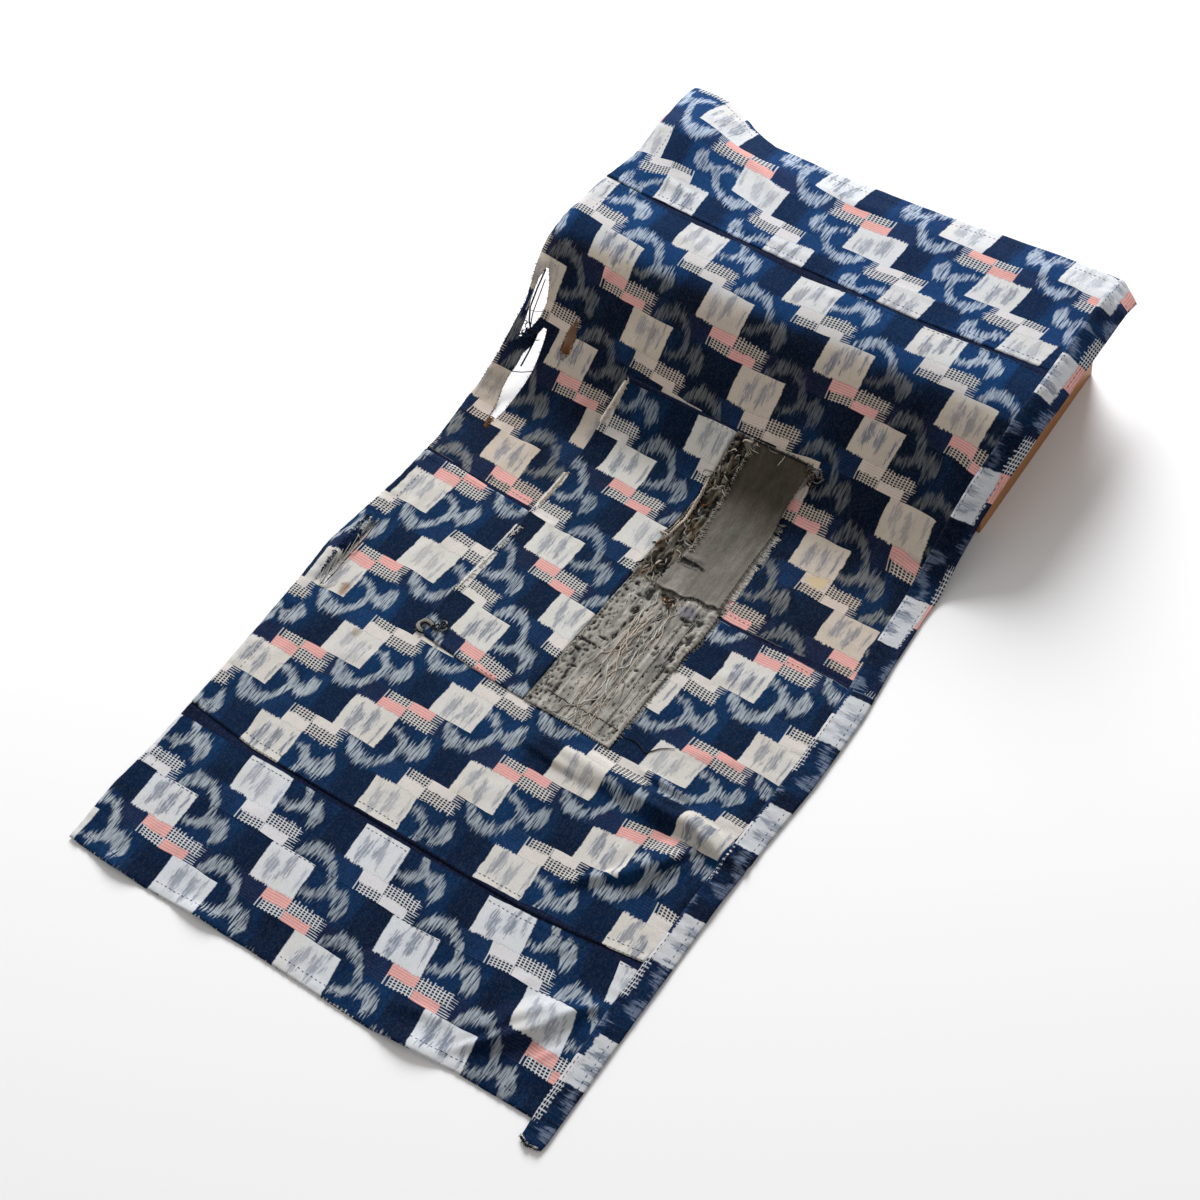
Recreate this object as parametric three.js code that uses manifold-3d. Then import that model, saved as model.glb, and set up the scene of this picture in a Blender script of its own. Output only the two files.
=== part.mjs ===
// A patched kasuri cloth, laid flat at its near end and carried over a low wooden stand at its far end.
//
// Millimetres, +Z up. The cloth's width runs along X and its length along Y, with the hem at -Y.
// The origin is on the floor, in the middle of the whole piece.
//
// Every cloth piece is first a flat sheet in cloth coordinates: u across the width, v along the length,
// measured over the cloth's surface. The function drape() bends it onto the floor and the stand.

import * as THREE from 'three';
import { mergeVertices } from 'three/addons/utils/BufferGeometryUtils.js';
import Module from 'manifold-3d';

const wasm = await Module();
wasm.setup();

// ---- driving dimensions ----------------------------------------------------------------------

const CENTRE_X = 10.3;          // the middle of the whole piece, in cloth coordinates
const CENTRE_Y = -9.15;

const CLOTH_THICK = 1.2;        // panels, band and patches
const SEAM_GAP = 0.5;           // between two pieces that are sewn edge to edge
const BAND_GAP = 0.9;           // between the panels and the band, which folds along that seam
const LAYER_GAP = 0.7;          // between a patch and the panel below it

const STAND_LEFT = -226;        // outer faces of the end boards
const STAND_RIGHT = 261;
const STAND_FRONT = 192.6;      // foot of the rounded front
const STAND_BACK = 419;
const STAND_HEIGHT = 103.4;
const NOSE_RADIUS = 102.4;      // the front edge is one quarter round
const BOARD_THICK = 12;         // end boards and back board
const SHELL_THICK = 9;          // bent front and top board
const BOARD_GAP = 0.3;
const BACK_ROUND = 5;           // the top board's back edge
const SIDE_INSET = 2;           // the end boards stop below the shell, clear of the cloth

const SEAT_GAP = 0.6;           // from the stand's top to the cloth on it
const SLOPE_DEG = 34;           // how steeply the cloth climbs from the floor
const LIFT_RADIUS = 60;         // bend where it leaves the floor
const FAR_EDGE_BEND = 30;       // bend where it passes the stand's back edge
const FAR_DROOP_DEG = 17;       // how far the far end hangs below level
const BAND_DROOP_DEG = 35;      // how far the band falls over the stand's right edge
const LEFT_DROOP_DEG = 30;      // and the left hem over its front left corner
const EDGE_CLEAR = 2;           // from the right end board to where the band folds
const FOLD_RADIUS = 8;

const TEAR_REACH = 5;           // how far a cutting bar stands out of the cloth

const STEP_COARSE = 24;         // spacing of the sheet's rows and columns where the cloth is flat
const STEP_FINE = 12;           // and where it bends or is creased

// ---- outlines, in cloth coordinates ------------------------------------------------------------

// Left edge: u for each v along the cloth.
const LEFT_EDGE = [
  { v: -520, u: -262 },
  { v: -460, u: -265 },
  { v: -430, u: -266 },
  { v: -380, u: -262 },
  { v: -290, u: -261 },
  { v: -165, u: -263 },
  { v: -115, u: -266 },
  { v: -60, u: -259 },
  { v: -20, u: -254 },
  { v: 40, u: -251 },
  { v: 100, u: -256 },
  { v: 154, u: -248 },
  { v: 210, u: -243 },
  { v: 280, u: -254 },
  { v: 305, u: -251 },
  { v: 349, u: -242 },
  { v: 404, u: -231 },
  { v: 469, u: -230 },
  { v: 540, u: -240 },
];

// Seam between the panels and the band on the right.
const BAND_SEAM = [
  { v: -520, u: 239 },
  { v: -480, u: 236.5 },
  { v: -380, u: 237 },
  { v: -300, u: 240 },
  { v: -180, u: 243.5 },
  { v: -100, u: 247 },
  { v: -20, u: 246 },
  { v: 40, u: 241.5 },
  { v: 110, u: 238.5 },
  { v: 170, u: 243 },
  { v: 216, u: 248 },
  { v: 262, u: 257 },
  { v: 315, u: 263 },
  { v: 520, u: 264 },
];

// Outer edge of the band.
const BAND_EDGE = [
  { v: -540, u: 256 },
  { v: -510, u: 260 },
  { v: -400, u: 261 },
  { v: -260, u: 263 },
  { v: -190, u: 267 },
  { v: -120, u: 272 },
  { v: -40, u: 273 },
  { v: 20, u: 268 },
  { v: 80, u: 266 },
  { v: 142, u: 268 },
  { v: 190, u: 272 },
  { v: 262, u: 284 },
  { v: 315, u: 290 },
  { v: 520, u: 290 },
];

// Seams and hems across the cloth: v for each u.
const NEAR_HEM = [
  { u: -262, v: -494 },
  { u: -210, v: -498.5 },
  { u: -60, v: -498.5 },
  { u: 0, v: -501 },
  { u: 80, v: -504 },
  { u: 120, v: -502.5 },
  { u: 160, v: -498 },
  { u: 240, v: -498 },
];
const TUCK_SEAM = [
  { u: -262, v: -327 },
  { u: -220, v: -333 },
  { u: -180, v: -338.5 },
  { u: -60, v: -342 },
  { u: 60, v: -346 },
  { u: 120, v: -347.5 },
  { u: 165, v: -345 },
  { u: 240, v: -337 },
];
const MIDDLE_SEAM = [
  { u: -252, v: 22 },
  { u: -215, v: 19 },
  { u: -136, v: 9.5 },
  { u: 100, v: -10 },
  { u: 245, v: -14 },
];
const TOP_SEAM = [
  { u: -240, v: 367 },
  { u: -189, v: 362 },
  { u: -28, v: 351 },
  { u: 124, v: 343 },
  { u: 265, v: 345 },
];
const FAR_HEM = [
  { u: -240, v: 530 },
  { u: -190, v: 529 },
  { u: -165, v: 518 },
  { u: -136, v: 502 },
  { u: -118, v: 494 },
  { u: -95, v: 493 },
  { u: -50, v: 487 },
  { u: 80, v: 486 },
  { u: 200, v: 492 },
  { u: 265, v: 490 },
];

// The loose near end of the band, and its far end.
const BAND_TAIL = [
  { u: 236, v: -516 },
  { u: 246, v: -520 },
  { u: 262, v: -517 },
];
const BAND_FAR = [
  { u: 262, v: 489 },
  { u: 292, v: 480 },
];

// The tall patch and the worn plain cloth beside it.
const PATCH_LEFT = [
  { v: -180, u: -133 },
  { v: -100, u: -127 },
  { v: -20, u: -119 },
  { v: 60, u: -117 },
  { v: 134, u: -116 },
  { v: 190, u: -107 },
];
const PATCH_SPLIT = [
  { v: -180, u: 0 },
  { v: -120, u: 2 },
  { v: -30, u: 7 },
  { v: 60, u: 10 },
  { v: 125, u: 14 },
  { v: 190, u: 22 },
];
const PLAIN_RIGHT = [
  { v: -190, u: 98 },
  { v: -120, u: 98 },
  { v: -60, u: 102 },
  { v: 0, u: 102 },
  { v: 60, u: 98 },
  { v: 117, u: 95 },
  { v: 142, u: 99 },
  { v: 180, u: 115 },
];
const PATCH_NEAR = [
  { u: -133, v: -159 },
  { u: -60, v: -168 },
  { u: 20, v: -174 },
  { u: 102, v: -179 },
];
const PATCH_FAR = [
  { u: -110, v: 182 },
  { u: -41, v: 179 },
  { u: 23, v: 175 },
  { u: 116, v: 173 },
];

// Tears near the left edge: where each row of a tear starts and ends across the cloth.
const LONG_TEAR = [
  { v: 74, left: -221, right: -219 },
  { v: 92, left: -224, right: -215 },
  { v: 112, left: -227, right: -212 },
  { v: 132, left: -227, right: -206 },
  { v: 152, left: -225, right: -205 },
  { v: 172, left: -220, right: -206 },
  { v: 194, left: -213, right: -210 },
];
const HIGH_TEAR = [
  { v: 175, left: -235, right: -232 },
  { v: 188, left: -235, right: -225 },
  { v: 200, left: -236, right: -221 },
  { v: 216, left: -239, right: -221 },
  { v: 234, left: -240, right: -227 },
  { v: 247, left: -237, right: -234 },
];
const SMALL_HOLE = [
  { v: 162, left: -180, right: -177 },
  { v: 176, left: -186, right: -174 },
  { v: 194, left: -187, right: -176 },
  { v: 210, left: -184, right: -182 },
];
const LONG_SLIT = [
  { v: -161, left: -241, right: -239 },
  { v: -146, left: -245, right: -236 },
  { v: -122, left: -245.5, right: -234.5 },
  { v: -94, left: -243, right: -235.5 },
  { v: -71, left: -241, right: -239.5 },
];

// Folds that stand up off the floor or the stand. Each is a soft ridge: its middle, its turn from the
// X axis in degrees, half its length, half its width, and its height.
const RIDGES = [
  { u: 120, v: -204, turn: -2, length: 125, width: 17, height: 7 },
  { u: 212, v: -211, turn: -12, length: 42, width: 13, height: 8 },
  { u: 190, v: -256, turn: 66, length: 44, width: 15, height: 7 },
  { u: 182, v: -430, turn: 48, length: 66, width: 20, height: 7 },
  { u: 62, v: -182, turn: -4, length: 70, width: 12, height: 3 },
  { u: -207, v: -500, turn: -2, length: 34, width: 20, height: 4.5 },
  { u: -114, v: -500, turn: 0, length: 32, width: 18, height: 4.5 },
  { u: 112, v: -504, turn: 4, length: 40, width: 22, height: 5 },
  { u: -252, v: -112, turn: 88, length: 58, width: 11, height: 6 },
  { u: -205, v: 486, turn: 118, length: 120, width: 62, height: 17 },
];

// ---- curves and profiles -----------------------------------------------------------------------

const rad = THREE.MathUtils.degToRad;
const lerp = THREE.MathUtils.lerp;

function along(table, inKey, outKey, at) {
  // Reads a table of two columns, straight between its rows and level past its ends.
  const last = table.length - 1;
  if (at <= table[0][inKey]) return table[0][outKey];
  if (at >= table[last][inKey]) return table[last][outKey];
  const k = table.findIndex((row) => row[inKey] > at);
  const [a, b] = [table[k - 1], table[k]];
  return lerp(a[outKey], b[outKey], (at - a[inKey]) / (b[inKey] - a[inKey]));
}

const acrossAt = (table) => (v) => along(table, 'v', 'u', v);
const lengthAt = (table) => (u) => along(table, 'u', 'v', u);

function smooth(low, high, x) {
  return THREE.MathUtils.smoothstep(x, low, high);
}

// The cloth's run along its length is a chain of straights and arcs, from the floor to the far end.
const slope = rad(SLOPE_DEG);
const noseRadius = NOSE_RADIUS + SEAT_GAP;
const noseCentreY = STAND_FRONT + NOSE_RADIUS;
const noseCentreZ = STAND_HEIGHT - NOSE_RADIUS;
const meetY = noseCentreY - noseRadius * Math.sin(slope);
const meetZ = noseCentreZ + noseRadius * Math.cos(slope);
const liftY = meetY - meetZ / Math.tan(slope) - LIFT_RADIUS * Math.tan(slope / 2);
const slopeRun = meetZ / Math.sin(slope) - LIFT_RADIUS * Math.tan(slope / 2);
const farDroop = rad(FAR_DROOP_DEG);

// Each length of the run: how long it is, and how far it turns upward in it.
const RUN = [
  { length: LIFT_RADIUS * slope, turn: slope },
  { length: slopeRun, turn: 0 },
  { length: noseRadius * slope, turn: -slope },
  { length: STAND_BACK - noseCentreY, turn: 0 },
  { length: FAR_EDGE_BEND * farDroop, turn: -farDroop },
  { length: 200, turn: 0 },
];

function profile(v) {
  // The point, and the angle above level, at the distance v along the cloth.
  if (v <= liftY) return { y: v, z: 0, angle: 0 };
  let y = liftY;
  let z = 0;
  let angle = 0;
  let left = v - liftY;
  for (const { length, turn } of RUN) {
    const s = Math.min(left, length);
    const curve = turn / length;
    if (turn === 0) {
      y += s * Math.cos(angle);
      z += s * Math.sin(angle);
    } else {
      y += (Math.sin(angle + curve * s) - Math.sin(angle)) / curve;
      z -= (Math.cos(angle + curve * s) - Math.cos(angle)) / curve;
      angle += curve * s;
    }
    left -= s;
    if (left <= 0) break;
  }
  return { y, z, angle };
}

const NOSE_START = liftY + RUN[0].length + RUN[1].length;
const TOP_START = NOSE_START + RUN[2].length;

function relief(u, v) {
  // How far the folds lift the cloth off what it lies on.
  let height = 0;
  for (const ridge of RIDGES) {
    const turn = rad(ridge.turn);
    const du = u - ridge.u;
    const dv = v - ridge.v;
    const a = (du * Math.cos(turn) + dv * Math.sin(turn)) / ridge.length;
    const b = (dv * Math.cos(turn) - du * Math.sin(turn)) / ridge.width;
    if (Math.abs(a) < 1 && Math.abs(b) < 1) height += ridge.height * (1 - a * a) ** 2 * (1 - b * b) ** 2;
  }
  return height;
}

function overEdge(past, droop) {
  // How far out and how far down a point lies, once it is this far past a folded edge.
  const arc = FOLD_RADIUS * droop;
  if (past <= 0 || droop < 1e-4) return { out: past, down: 0 };
  const bend = Math.min(past, arc) / FOLD_RADIUS;
  const rest = Math.max(0, past - arc);
  return {
    out: FOLD_RADIUS * Math.sin(bend) + rest * Math.cos(bend),
    down: FOLD_RADIUS * (1 - Math.cos(bend)) + rest * Math.sin(bend),
  };
}

function surface(u, v) {
  // The underside of the cloth, at rest.
  const { y, z, angle } = profile(v);
  const bandFold = Math.max(acrossAt(BAND_SEAM)(v) - 1, STAND_RIGHT + EDGE_CLEAR);
  const onStand = smooth(NOSE_START - 40, NOSE_START + 50, v);
  const corner = smooth(NOSE_START - 25, NOSE_START + 30, v) * (1 - smooth(TOP_START, TOP_START + 80, v));
  const right = overEdge(u - bandFold, rad(BAND_DROOP_DEG) * onStand);
  const left = overEdge(STAND_LEFT - 10 - u, rad(LEFT_DROOP_DEG) * corner);
  let x = u;
  if (u > bandFold) x = bandFold + right.out;
  if (u < STAND_LEFT - 10) x = STAND_LEFT - 10 - left.out;
  const rise = relief(u, v) - right.down - left.down;
  return new THREE.Vector3(x - CENTRE_X, y - rise * Math.sin(angle) - CENTRE_Y, z + rise * Math.cos(angle));
}

function drape(u, v, n) {
  // A point of the draped cloth, n above its underside along the surface's own normal.
  const h = 0.5;
  const du = surface(u + h, v).sub(surface(u - h, v));
  const dv = surface(u, v + h).sub(surface(u, v - h));
  return surface(u, v).addScaledVector(du.cross(dv).normalize(), n);
}

// ---- solids ------------------------------------------------------------------------------------

function meshOf(positions, triangles) {
  const geometry = new THREE.BufferGeometry();
  geometry.setAttribute('position', new THREE.Float32BufferAttribute(positions, 3));
  geometry.setIndex(triangles);
  return geometry;
}

function sheet({ left, right, near, far, columns, rows, level = 0, thick = CLOTH_THICK }) {
  // A closed sheet between two side edges and two end edges. Columns and rows run from 0 to 1.
  const positions = [];
  const across = columns.length;
  for (const n of [level, level + thick]) {
    for (const t of rows) {
      for (const s of columns) {
        let u = lerp(left(0), right(0), s);
        let v = lerp(near(u), far(u), t);
        for (let pass = 0; pass < 4; pass += 1) {
          u = lerp(left(v), right(v), s);
          v = lerp(near(u), far(u), t);
        }
        positions.push(...drape(u, v, n).toArray());
      }
    }
  }
  const layer = across * rows.length;
  const triangles = [];
  const quad = (a, b, c, d) => triangles.push(a, b, c, a, c, d);
  for (let j = 0; j + 1 < rows.length; j += 1) {
    for (let i = 0; i + 1 < across; i += 1) {
      const k = j * across + i;
      quad(layer + k, layer + k + 1, layer + k + across + 1, layer + k + across);
      quad(k, k + across, k + across + 1, k + 1);
    }
  }
  const rim = [];
  for (let i = 0; i + 1 < across; i += 1) rim.push(i);
  for (let j = 0; j + 1 < rows.length; j += 1) rim.push(j * across + across - 1);
  for (let i = across - 1; i > 0; i -= 1) rim.push((rows.length - 1) * across + i);
  for (let j = rows.length - 1; j > 0; j -= 1) rim.push(j * across);
  rim.forEach((a, k) => {
    const b = rim[(k + 1) % rim.length];
    quad(a, b, b + layer, a + layer);
  });
  return meshOf(positions, triangles);
}

function tearTool(table) {
  // A bent bar that stands through the cloth over one tear.
  const low = table[0].v;
  const high = table[table.length - 1].v;
  return sheet({
    left: (v) => along(table, 'v', 'left', v),
    right: (v) => along(table, 'v', 'right', v),
    near: () => low,
    far: () => high,
    columns: [0, 1],
    rows: table.map((row) => (row.v - low) / (high - low)),
    level: -TEAR_REACH,
    thick: 2 * TEAR_REACH + CLOTH_THICK,
  });
}

function toManifold(geometry) {
  const bare = geometry.clone();
  bare.deleteAttribute('normal');
  bare.deleteAttribute('uv');
  const merged = mergeVertices(bare, 1e-4);
  return new wasm.Manifold(new wasm.Mesh({
    numProp: 3,
    vertProperties: new Float32Array(merged.attributes.position.array),
    triVerts: new Uint32Array(merged.index.array),
  }));
}

function cut(geometry, ...tools) {
  let solid = toManifold(geometry);
  for (const tool of tools) solid = solid.subtract(toManifold(tool));
  const { vertProperties, triVerts } = solid.getMesh();
  return meshOf(Array.from(vertProperties), Array.from(triVerts));
}

function stations(low, high, stepAt) {
  // Values from 0 to 1 that divide a run into steps of about the length that stepAt asks for.
  const marks = [low];
  let at = low;
  while (at < high) {
    at += stepAt(at);
    marks.push(at);
  }
  const end = marks[marks.length - 1];
  return marks.map((mark) => (mark - low) / (end - low));
}

// Rows are close where the cloth is creased or bends, and columns are close where it is creased.
function rowStep(v) {
  const creased = v < -395 || (v > -300 && v < -160);
  const bends = v > liftY - STEP_FINE && v < liftY + RUN[0].length;
  const nose = v > NOSE_START - STEP_FINE;
  return creased || bends || nose ? STEP_FINE : STEP_COARSE;
}

const creasedColumn = (u) => (u > 130 ? STEP_FINE : STEP_COARSE);
const foldedColumn = (u) => (u < STAND_LEFT ? STEP_FINE : STEP_COARSE);

const leftEdge = acrossAt(LEFT_EDGE);
const bandSeam = acrossAt(BAND_SEAM);
const bandEdge = acrossAt(BAND_EDGE);
const patchSplit = acrossAt(PATCH_SPLIT);
const beside = (edge, gap) => (at) => edge(at) + gap;

const panels = {
  panel_hem: sheet({
    left: leftEdge,
    right: beside(bandSeam, -BAND_GAP),
    near: lengthAt(NEAR_HEM),
    far: beside(lengthAt(TUCK_SEAM), -SEAM_GAP / 2),
    columns: stations(-262, 237, creasedColumn),
    rows: stations(-498, -340, rowStep),
  }),
  panel_middle: cut(sheet({
    left: leftEdge,
    right: beside(bandSeam, -BAND_GAP),
    near: beside(lengthAt(TUCK_SEAM), SEAM_GAP / 2),
    far: beside(lengthAt(MIDDLE_SEAM), -SEAM_GAP / 2),
    columns: stations(-262, 243, creasedColumn),
    rows: stations(-340, 0, rowStep),
  }), tearTool(LONG_SLIT)),
  panel_upper: cut(sheet({
    left: leftEdge,
    right: beside(bandSeam, -BAND_GAP),
    near: beside(lengthAt(MIDDLE_SEAM), SEAM_GAP / 2),
    far: beside(lengthAt(TOP_SEAM), -SEAM_GAP / 2),
    columns: stations(-252, 250, foldedColumn),
    rows: stations(0, 350, rowStep),
  }), tearTool(LONG_TEAR), tearTool(HIGH_TEAR), tearTool(SMALL_HOLE)),
  panel_top: sheet({
    left: leftEdge,
    right: beside(bandSeam, -BAND_GAP),
    near: beside(lengthAt(TOP_SEAM), SEAM_GAP / 2),
    far: lengthAt(FAR_HEM),
    columns: stations(-240, 264, foldedColumn),
    rows: stations(350, 495, rowStep),
  }),
};

const patchLevel = CLOTH_THICK + LAYER_GAP;
const patchRows = stations(-170, 178, rowStep);

const patches = {
  patch_kasuri: sheet({
    left: acrossAt(PATCH_LEFT),
    right: beside(patchSplit, -SEAM_GAP / 2),
    near: lengthAt(PATCH_NEAR),
    far: lengthAt(PATCH_FAR),
    columns: stations(-120, 8, creasedColumn),
    rows: patchRows,
    level: patchLevel,
  }),
  patch_plain: sheet({
    left: beside(patchSplit, SEAM_GAP / 2),
    right: acrossAt(PLAIN_RIGHT),
    near: lengthAt(PATCH_NEAR),
    far: lengthAt(PATCH_FAR),
    columns: stations(8, 98, creasedColumn),
    rows: patchRows,
    level: patchLevel,
  }),
};

const band = sheet({
  left: bandSeam,
  right: bandEdge,
  near: lengthAt(BAND_TAIL),
  far: lengthAt(BAND_FAR),
  columns: stations(0, 26, () => STEP_FINE),
  rows: stations(-518, 485, rowStep),
});

// ---- the stand ---------------------------------------------------------------------------------

function standOutline(inset, back) {
  // The side view of the stand, as y and z: foot, quarter-round front, level top and upright back.
  const outline = new THREE.Shape();
  const radius = NOSE_RADIUS - inset;
  const top = STAND_HEIGHT - inset;
  outline.moveTo(noseCentreY - radius, 0);
  outline.lineTo(noseCentreY - radius, noseCentreZ);
  outline.absarc(noseCentreY, noseCentreZ, radius, Math.PI, Math.PI / 2, true);
  outline.lineTo(back, top);
  outline.lineTo(back, 0);
  outline.closePath();
  return outline;
}

function shellOutline() {
  // The bent board: the stand's front and top, with its inside taken away.
  const outline = new THREE.Shape();
  const inner = NOSE_RADIUS - SHELL_THICK;
  outline.moveTo(noseCentreY - NOSE_RADIUS, 0);
  outline.lineTo(noseCentreY - NOSE_RADIUS, noseCentreZ);
  outline.absarc(noseCentreY, noseCentreZ, NOSE_RADIUS, Math.PI, Math.PI / 2, true);
  outline.absarc(STAND_BACK - BACK_ROUND, STAND_HEIGHT - BACK_ROUND, BACK_ROUND, Math.PI / 2, 0, true);
  outline.lineTo(STAND_BACK, STAND_HEIGHT - SHELL_THICK);
  outline.absarc(noseCentreY, noseCentreZ, inner, Math.PI / 2, Math.PI, false);
  outline.lineTo(noseCentreY - inner, 0);
  outline.closePath();
  return outline;
}

function board(outline, low, high) {
  // Extrudes a side view across the stand, from one x to another.
  const solid = new THREE.ExtrudeGeometry(outline, { depth: high - low, bevelEnabled: false, curveSegments: 14 });
  // The outline's own axes become Y and Z, and its depth becomes X.
  solid.applyMatrix4(new THREE.Matrix4().set(
    0, 0, 1, low - CENTRE_X,
    1, 0, 0, -CENTRE_Y,
    0, 1, 0, 0,
    0, 0, 0, 1,
  ));
  return solid;
}

const insideLeft = STAND_LEFT + BOARD_THICK + BOARD_GAP;
const insideRight = STAND_RIGHT - BOARD_THICK - BOARD_GAP;

function backBoard() {
  const height = STAND_HEIGHT - SHELL_THICK - BOARD_GAP;
  const plank = new THREE.BoxGeometry(insideRight - insideLeft, BOARD_THICK, height);
  plank.translate(
    (insideLeft + insideRight) / 2 - CENTRE_X,
    STAND_BACK - BOARD_THICK / 2 - CENTRE_Y,
    height / 2,
  );
  return plank;
}

const stand = {
  stand_side_left: board(standOutline(SIDE_INSET, STAND_BACK), STAND_LEFT, STAND_LEFT + BOARD_THICK),
  stand_side_right: board(standOutline(SIDE_INSET, STAND_BACK), STAND_RIGHT - BOARD_THICK, STAND_RIGHT),
  stand_shell: board(shellOutline(), insideLeft, insideRight),
  stand_back: backBoard(),
};

// ---- materials and the finished group ------------------------------------------------------------

const FINISHES = {
  indigo: { color: 0x1c3a66, roughness: 0.9 },
  plain: { color: 0x7d7b72, roughness: 0.95 },
  wood: { color: 0x8a5826, roughness: 0.55 },
};

function finish(name) {
  return new THREE.MeshStandardMaterial({ ...FINISHES[name], metalness: 0 });
}

const group = new THREE.Group();

function add(name, geometry, material) {
  const mesh = new THREE.Mesh(geometry, finish(material));
  mesh.name = name;
  group.add(mesh);
}

for (const [name, geometry] of Object.entries(panels)) add(name, geometry, 'indigo');
add('patch_kasuri', patches.patch_kasuri, 'indigo');
add('patch_plain', patches.patch_plain, 'plain');
add('edge_strip', band, 'indigo');
for (const [name, geometry] of Object.entries(stand)) add(name, geometry, 'wood');

export default group;
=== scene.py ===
# %% [markdown]
# # A patched kasuri cloth laid over a low wooden stand
# The cloth is old indigo cotton. Its figures were tied and dyed into the yarn before weaving, so every
# edge is a little feathered. Narrow loom widths are sewn side by side, then patched and bound. One end
# lies flat and the other climbs a stand with a rounded front. We lay the finished solids in as a frame,
# and dress each cloth solid with a thin sheet that follows the same folds but has far more detail.

# %% Tools and the frame
import math
import random

import bmesh
import bpy
import numpy as np
from mathutils import Matrix, Vector


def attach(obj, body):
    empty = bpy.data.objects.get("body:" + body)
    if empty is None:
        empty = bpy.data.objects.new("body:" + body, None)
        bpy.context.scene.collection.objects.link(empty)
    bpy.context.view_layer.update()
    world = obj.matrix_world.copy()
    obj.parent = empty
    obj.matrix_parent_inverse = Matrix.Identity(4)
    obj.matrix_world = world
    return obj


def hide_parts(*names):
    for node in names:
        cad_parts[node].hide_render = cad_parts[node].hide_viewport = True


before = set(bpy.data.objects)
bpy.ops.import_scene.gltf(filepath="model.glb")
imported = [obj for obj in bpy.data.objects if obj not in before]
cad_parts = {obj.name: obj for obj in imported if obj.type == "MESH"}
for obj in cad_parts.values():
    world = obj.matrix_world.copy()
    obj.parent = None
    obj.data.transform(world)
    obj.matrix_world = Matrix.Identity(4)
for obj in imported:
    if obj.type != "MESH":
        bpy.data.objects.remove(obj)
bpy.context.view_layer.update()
MM = 0.001
print("solids:", sorted(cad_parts))

# %% [markdown]
# ## The drape
# A cloth is easiest to think of flat. Each point has two cloth coordinates in millimetres: u across the
# width and v along the length. One function then carries (u, v) to its place in the room. Along v the
# cloth runs level, curves up, climbs straight, rolls over the rounded front and lies level again, so its
# run is a chain of straights and arcs. Working this way, tears, seams and patterns can all be placed in
# cloth coordinates and follow the folds by themselves. The sizes are the same as the solids'.

# %% The run of the cloth, from the floor to the top of the stand
CENTRE = (10.3, -9.15)
STAND = {"left": -226.0, "right": 261.0, "front": 192.6, "back": 419.0, "height": 103.4, "nose": 102.4}
SEAT_GAP = 0.6
SLOPE = math.radians(34)
FAR_DROOP = math.radians(17)
LIFT_RADIUS = 60.0
FAR_RADIUS = 30.0
BAND_DROOP = math.radians(35)
LEFT_DROOP = math.radians(30)
FOLD_RADIUS = 8.0
EDGE_CLEAR = 2.0
LEFT_CLEAR = 10.0

nose_radius = STAND["nose"] + SEAT_GAP
nose_y = STAND["front"] + STAND["nose"]
nose_z = STAND["height"] - STAND["nose"]
meet_y = nose_y - nose_radius * math.sin(SLOPE)
meet_z = nose_z + nose_radius * math.cos(SLOPE)
lift_y = meet_y - meet_z / math.tan(SLOPE) - LIFT_RADIUS * math.tan(SLOPE / 2)
climb = meet_z / math.sin(SLOPE) - LIFT_RADIUS * math.tan(SLOPE / 2)
RUN = [
    (LIFT_RADIUS * SLOPE, SLOPE),
    (climb, 0.0),
    (nose_radius * SLOPE, -SLOPE),
    (STAND["back"] - nose_y, 0.0),
    (FAR_RADIUS * FAR_DROOP, -FAR_DROOP),
    (200.0, 0.0),
]
NOSE_START = lift_y + RUN[0][0] + RUN[1][0]
TOP_START = NOSE_START + RUN[2][0]
print(f"lifts at {lift_y:.0f} mm, nose from {NOSE_START:.0f} to {TOP_START:.0f} mm")


def profile(v):
    """y, z and slope angle at the distance v along the cloth."""
    y = np.minimum(v, lift_y).astype(float)
    z = np.zeros_like(y)
    angle = np.zeros_like(y)
    left = np.maximum(v - lift_y, 0.0)
    for length, turn in RUN:
        s = np.clip(left, 0.0, length)
        if turn == 0.0:
            y = y + s * np.cos(angle)
            z = z + s * np.sin(angle)
        else:
            after = angle + turn / length * s
            y = y + (np.sin(after) - np.sin(angle)) * length / turn
            z = z - (np.cos(after) - np.cos(angle)) * length / turn
            angle = after
        left = left - s
    return y, z, angle


# %% [markdown]
# ## Edges and seams
# The outline was never cut straight, and years of use have pulled it further. Short tables hold where
# each edge and seam runs, and np.interp reads between the rows.

# %% Outline tables, in cloth millimetres
LEFT_EDGE = [
    (-520, -262), (-460, -265), (-430, -266), (-380, -262), (-290, -261), (-165, -263), (-115, -266),
    (-60, -259), (-20, -254), (40, -251), (100, -256), (154, -248), (210, -243), (280, -254), (305, -251),
    (349, -242), (404, -231), (469, -230), (540, -240),
]
BAND_SEAM = [
    (-520, 239), (-480, 236.5), (-380, 237), (-300, 240), (-180, 243.5), (-100, 247), (-20, 246),
    (40, 241.5), (110, 238.5), (170, 243), (216, 248), (262, 257), (315, 263), (520, 264),
]
BAND_EDGE = [
    (-540, 256), (-510, 260), (-400, 261), (-260, 263), (-190, 267), (-120, 272), (-40, 273), (20, 268),
    (80, 266), (142, 268), (190, 272), (262, 284), (315, 290), (520, 290),
]
NEAR_HEM = [
    (-262, -494), (-210, -498.5), (-60, -498.5), (0, -501), (80, -504), (120, -502.5), (160, -498),
    (240, -498),
]
TUCK_SEAM = [
    (-262, -327), (-220, -333), (-180, -338.5), (-60, -342), (60, -346), (120, -347.5), (165, -345),
    (240, -337),
]
MIDDLE_SEAM = [(-252, 22), (-215, 19), (-136, 9.5), (100, -10), (245, -14)]
TOP_SEAM = [(-240, 367), (-189, 362), (-28, 351), (124, 343), (265, 345)]
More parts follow.
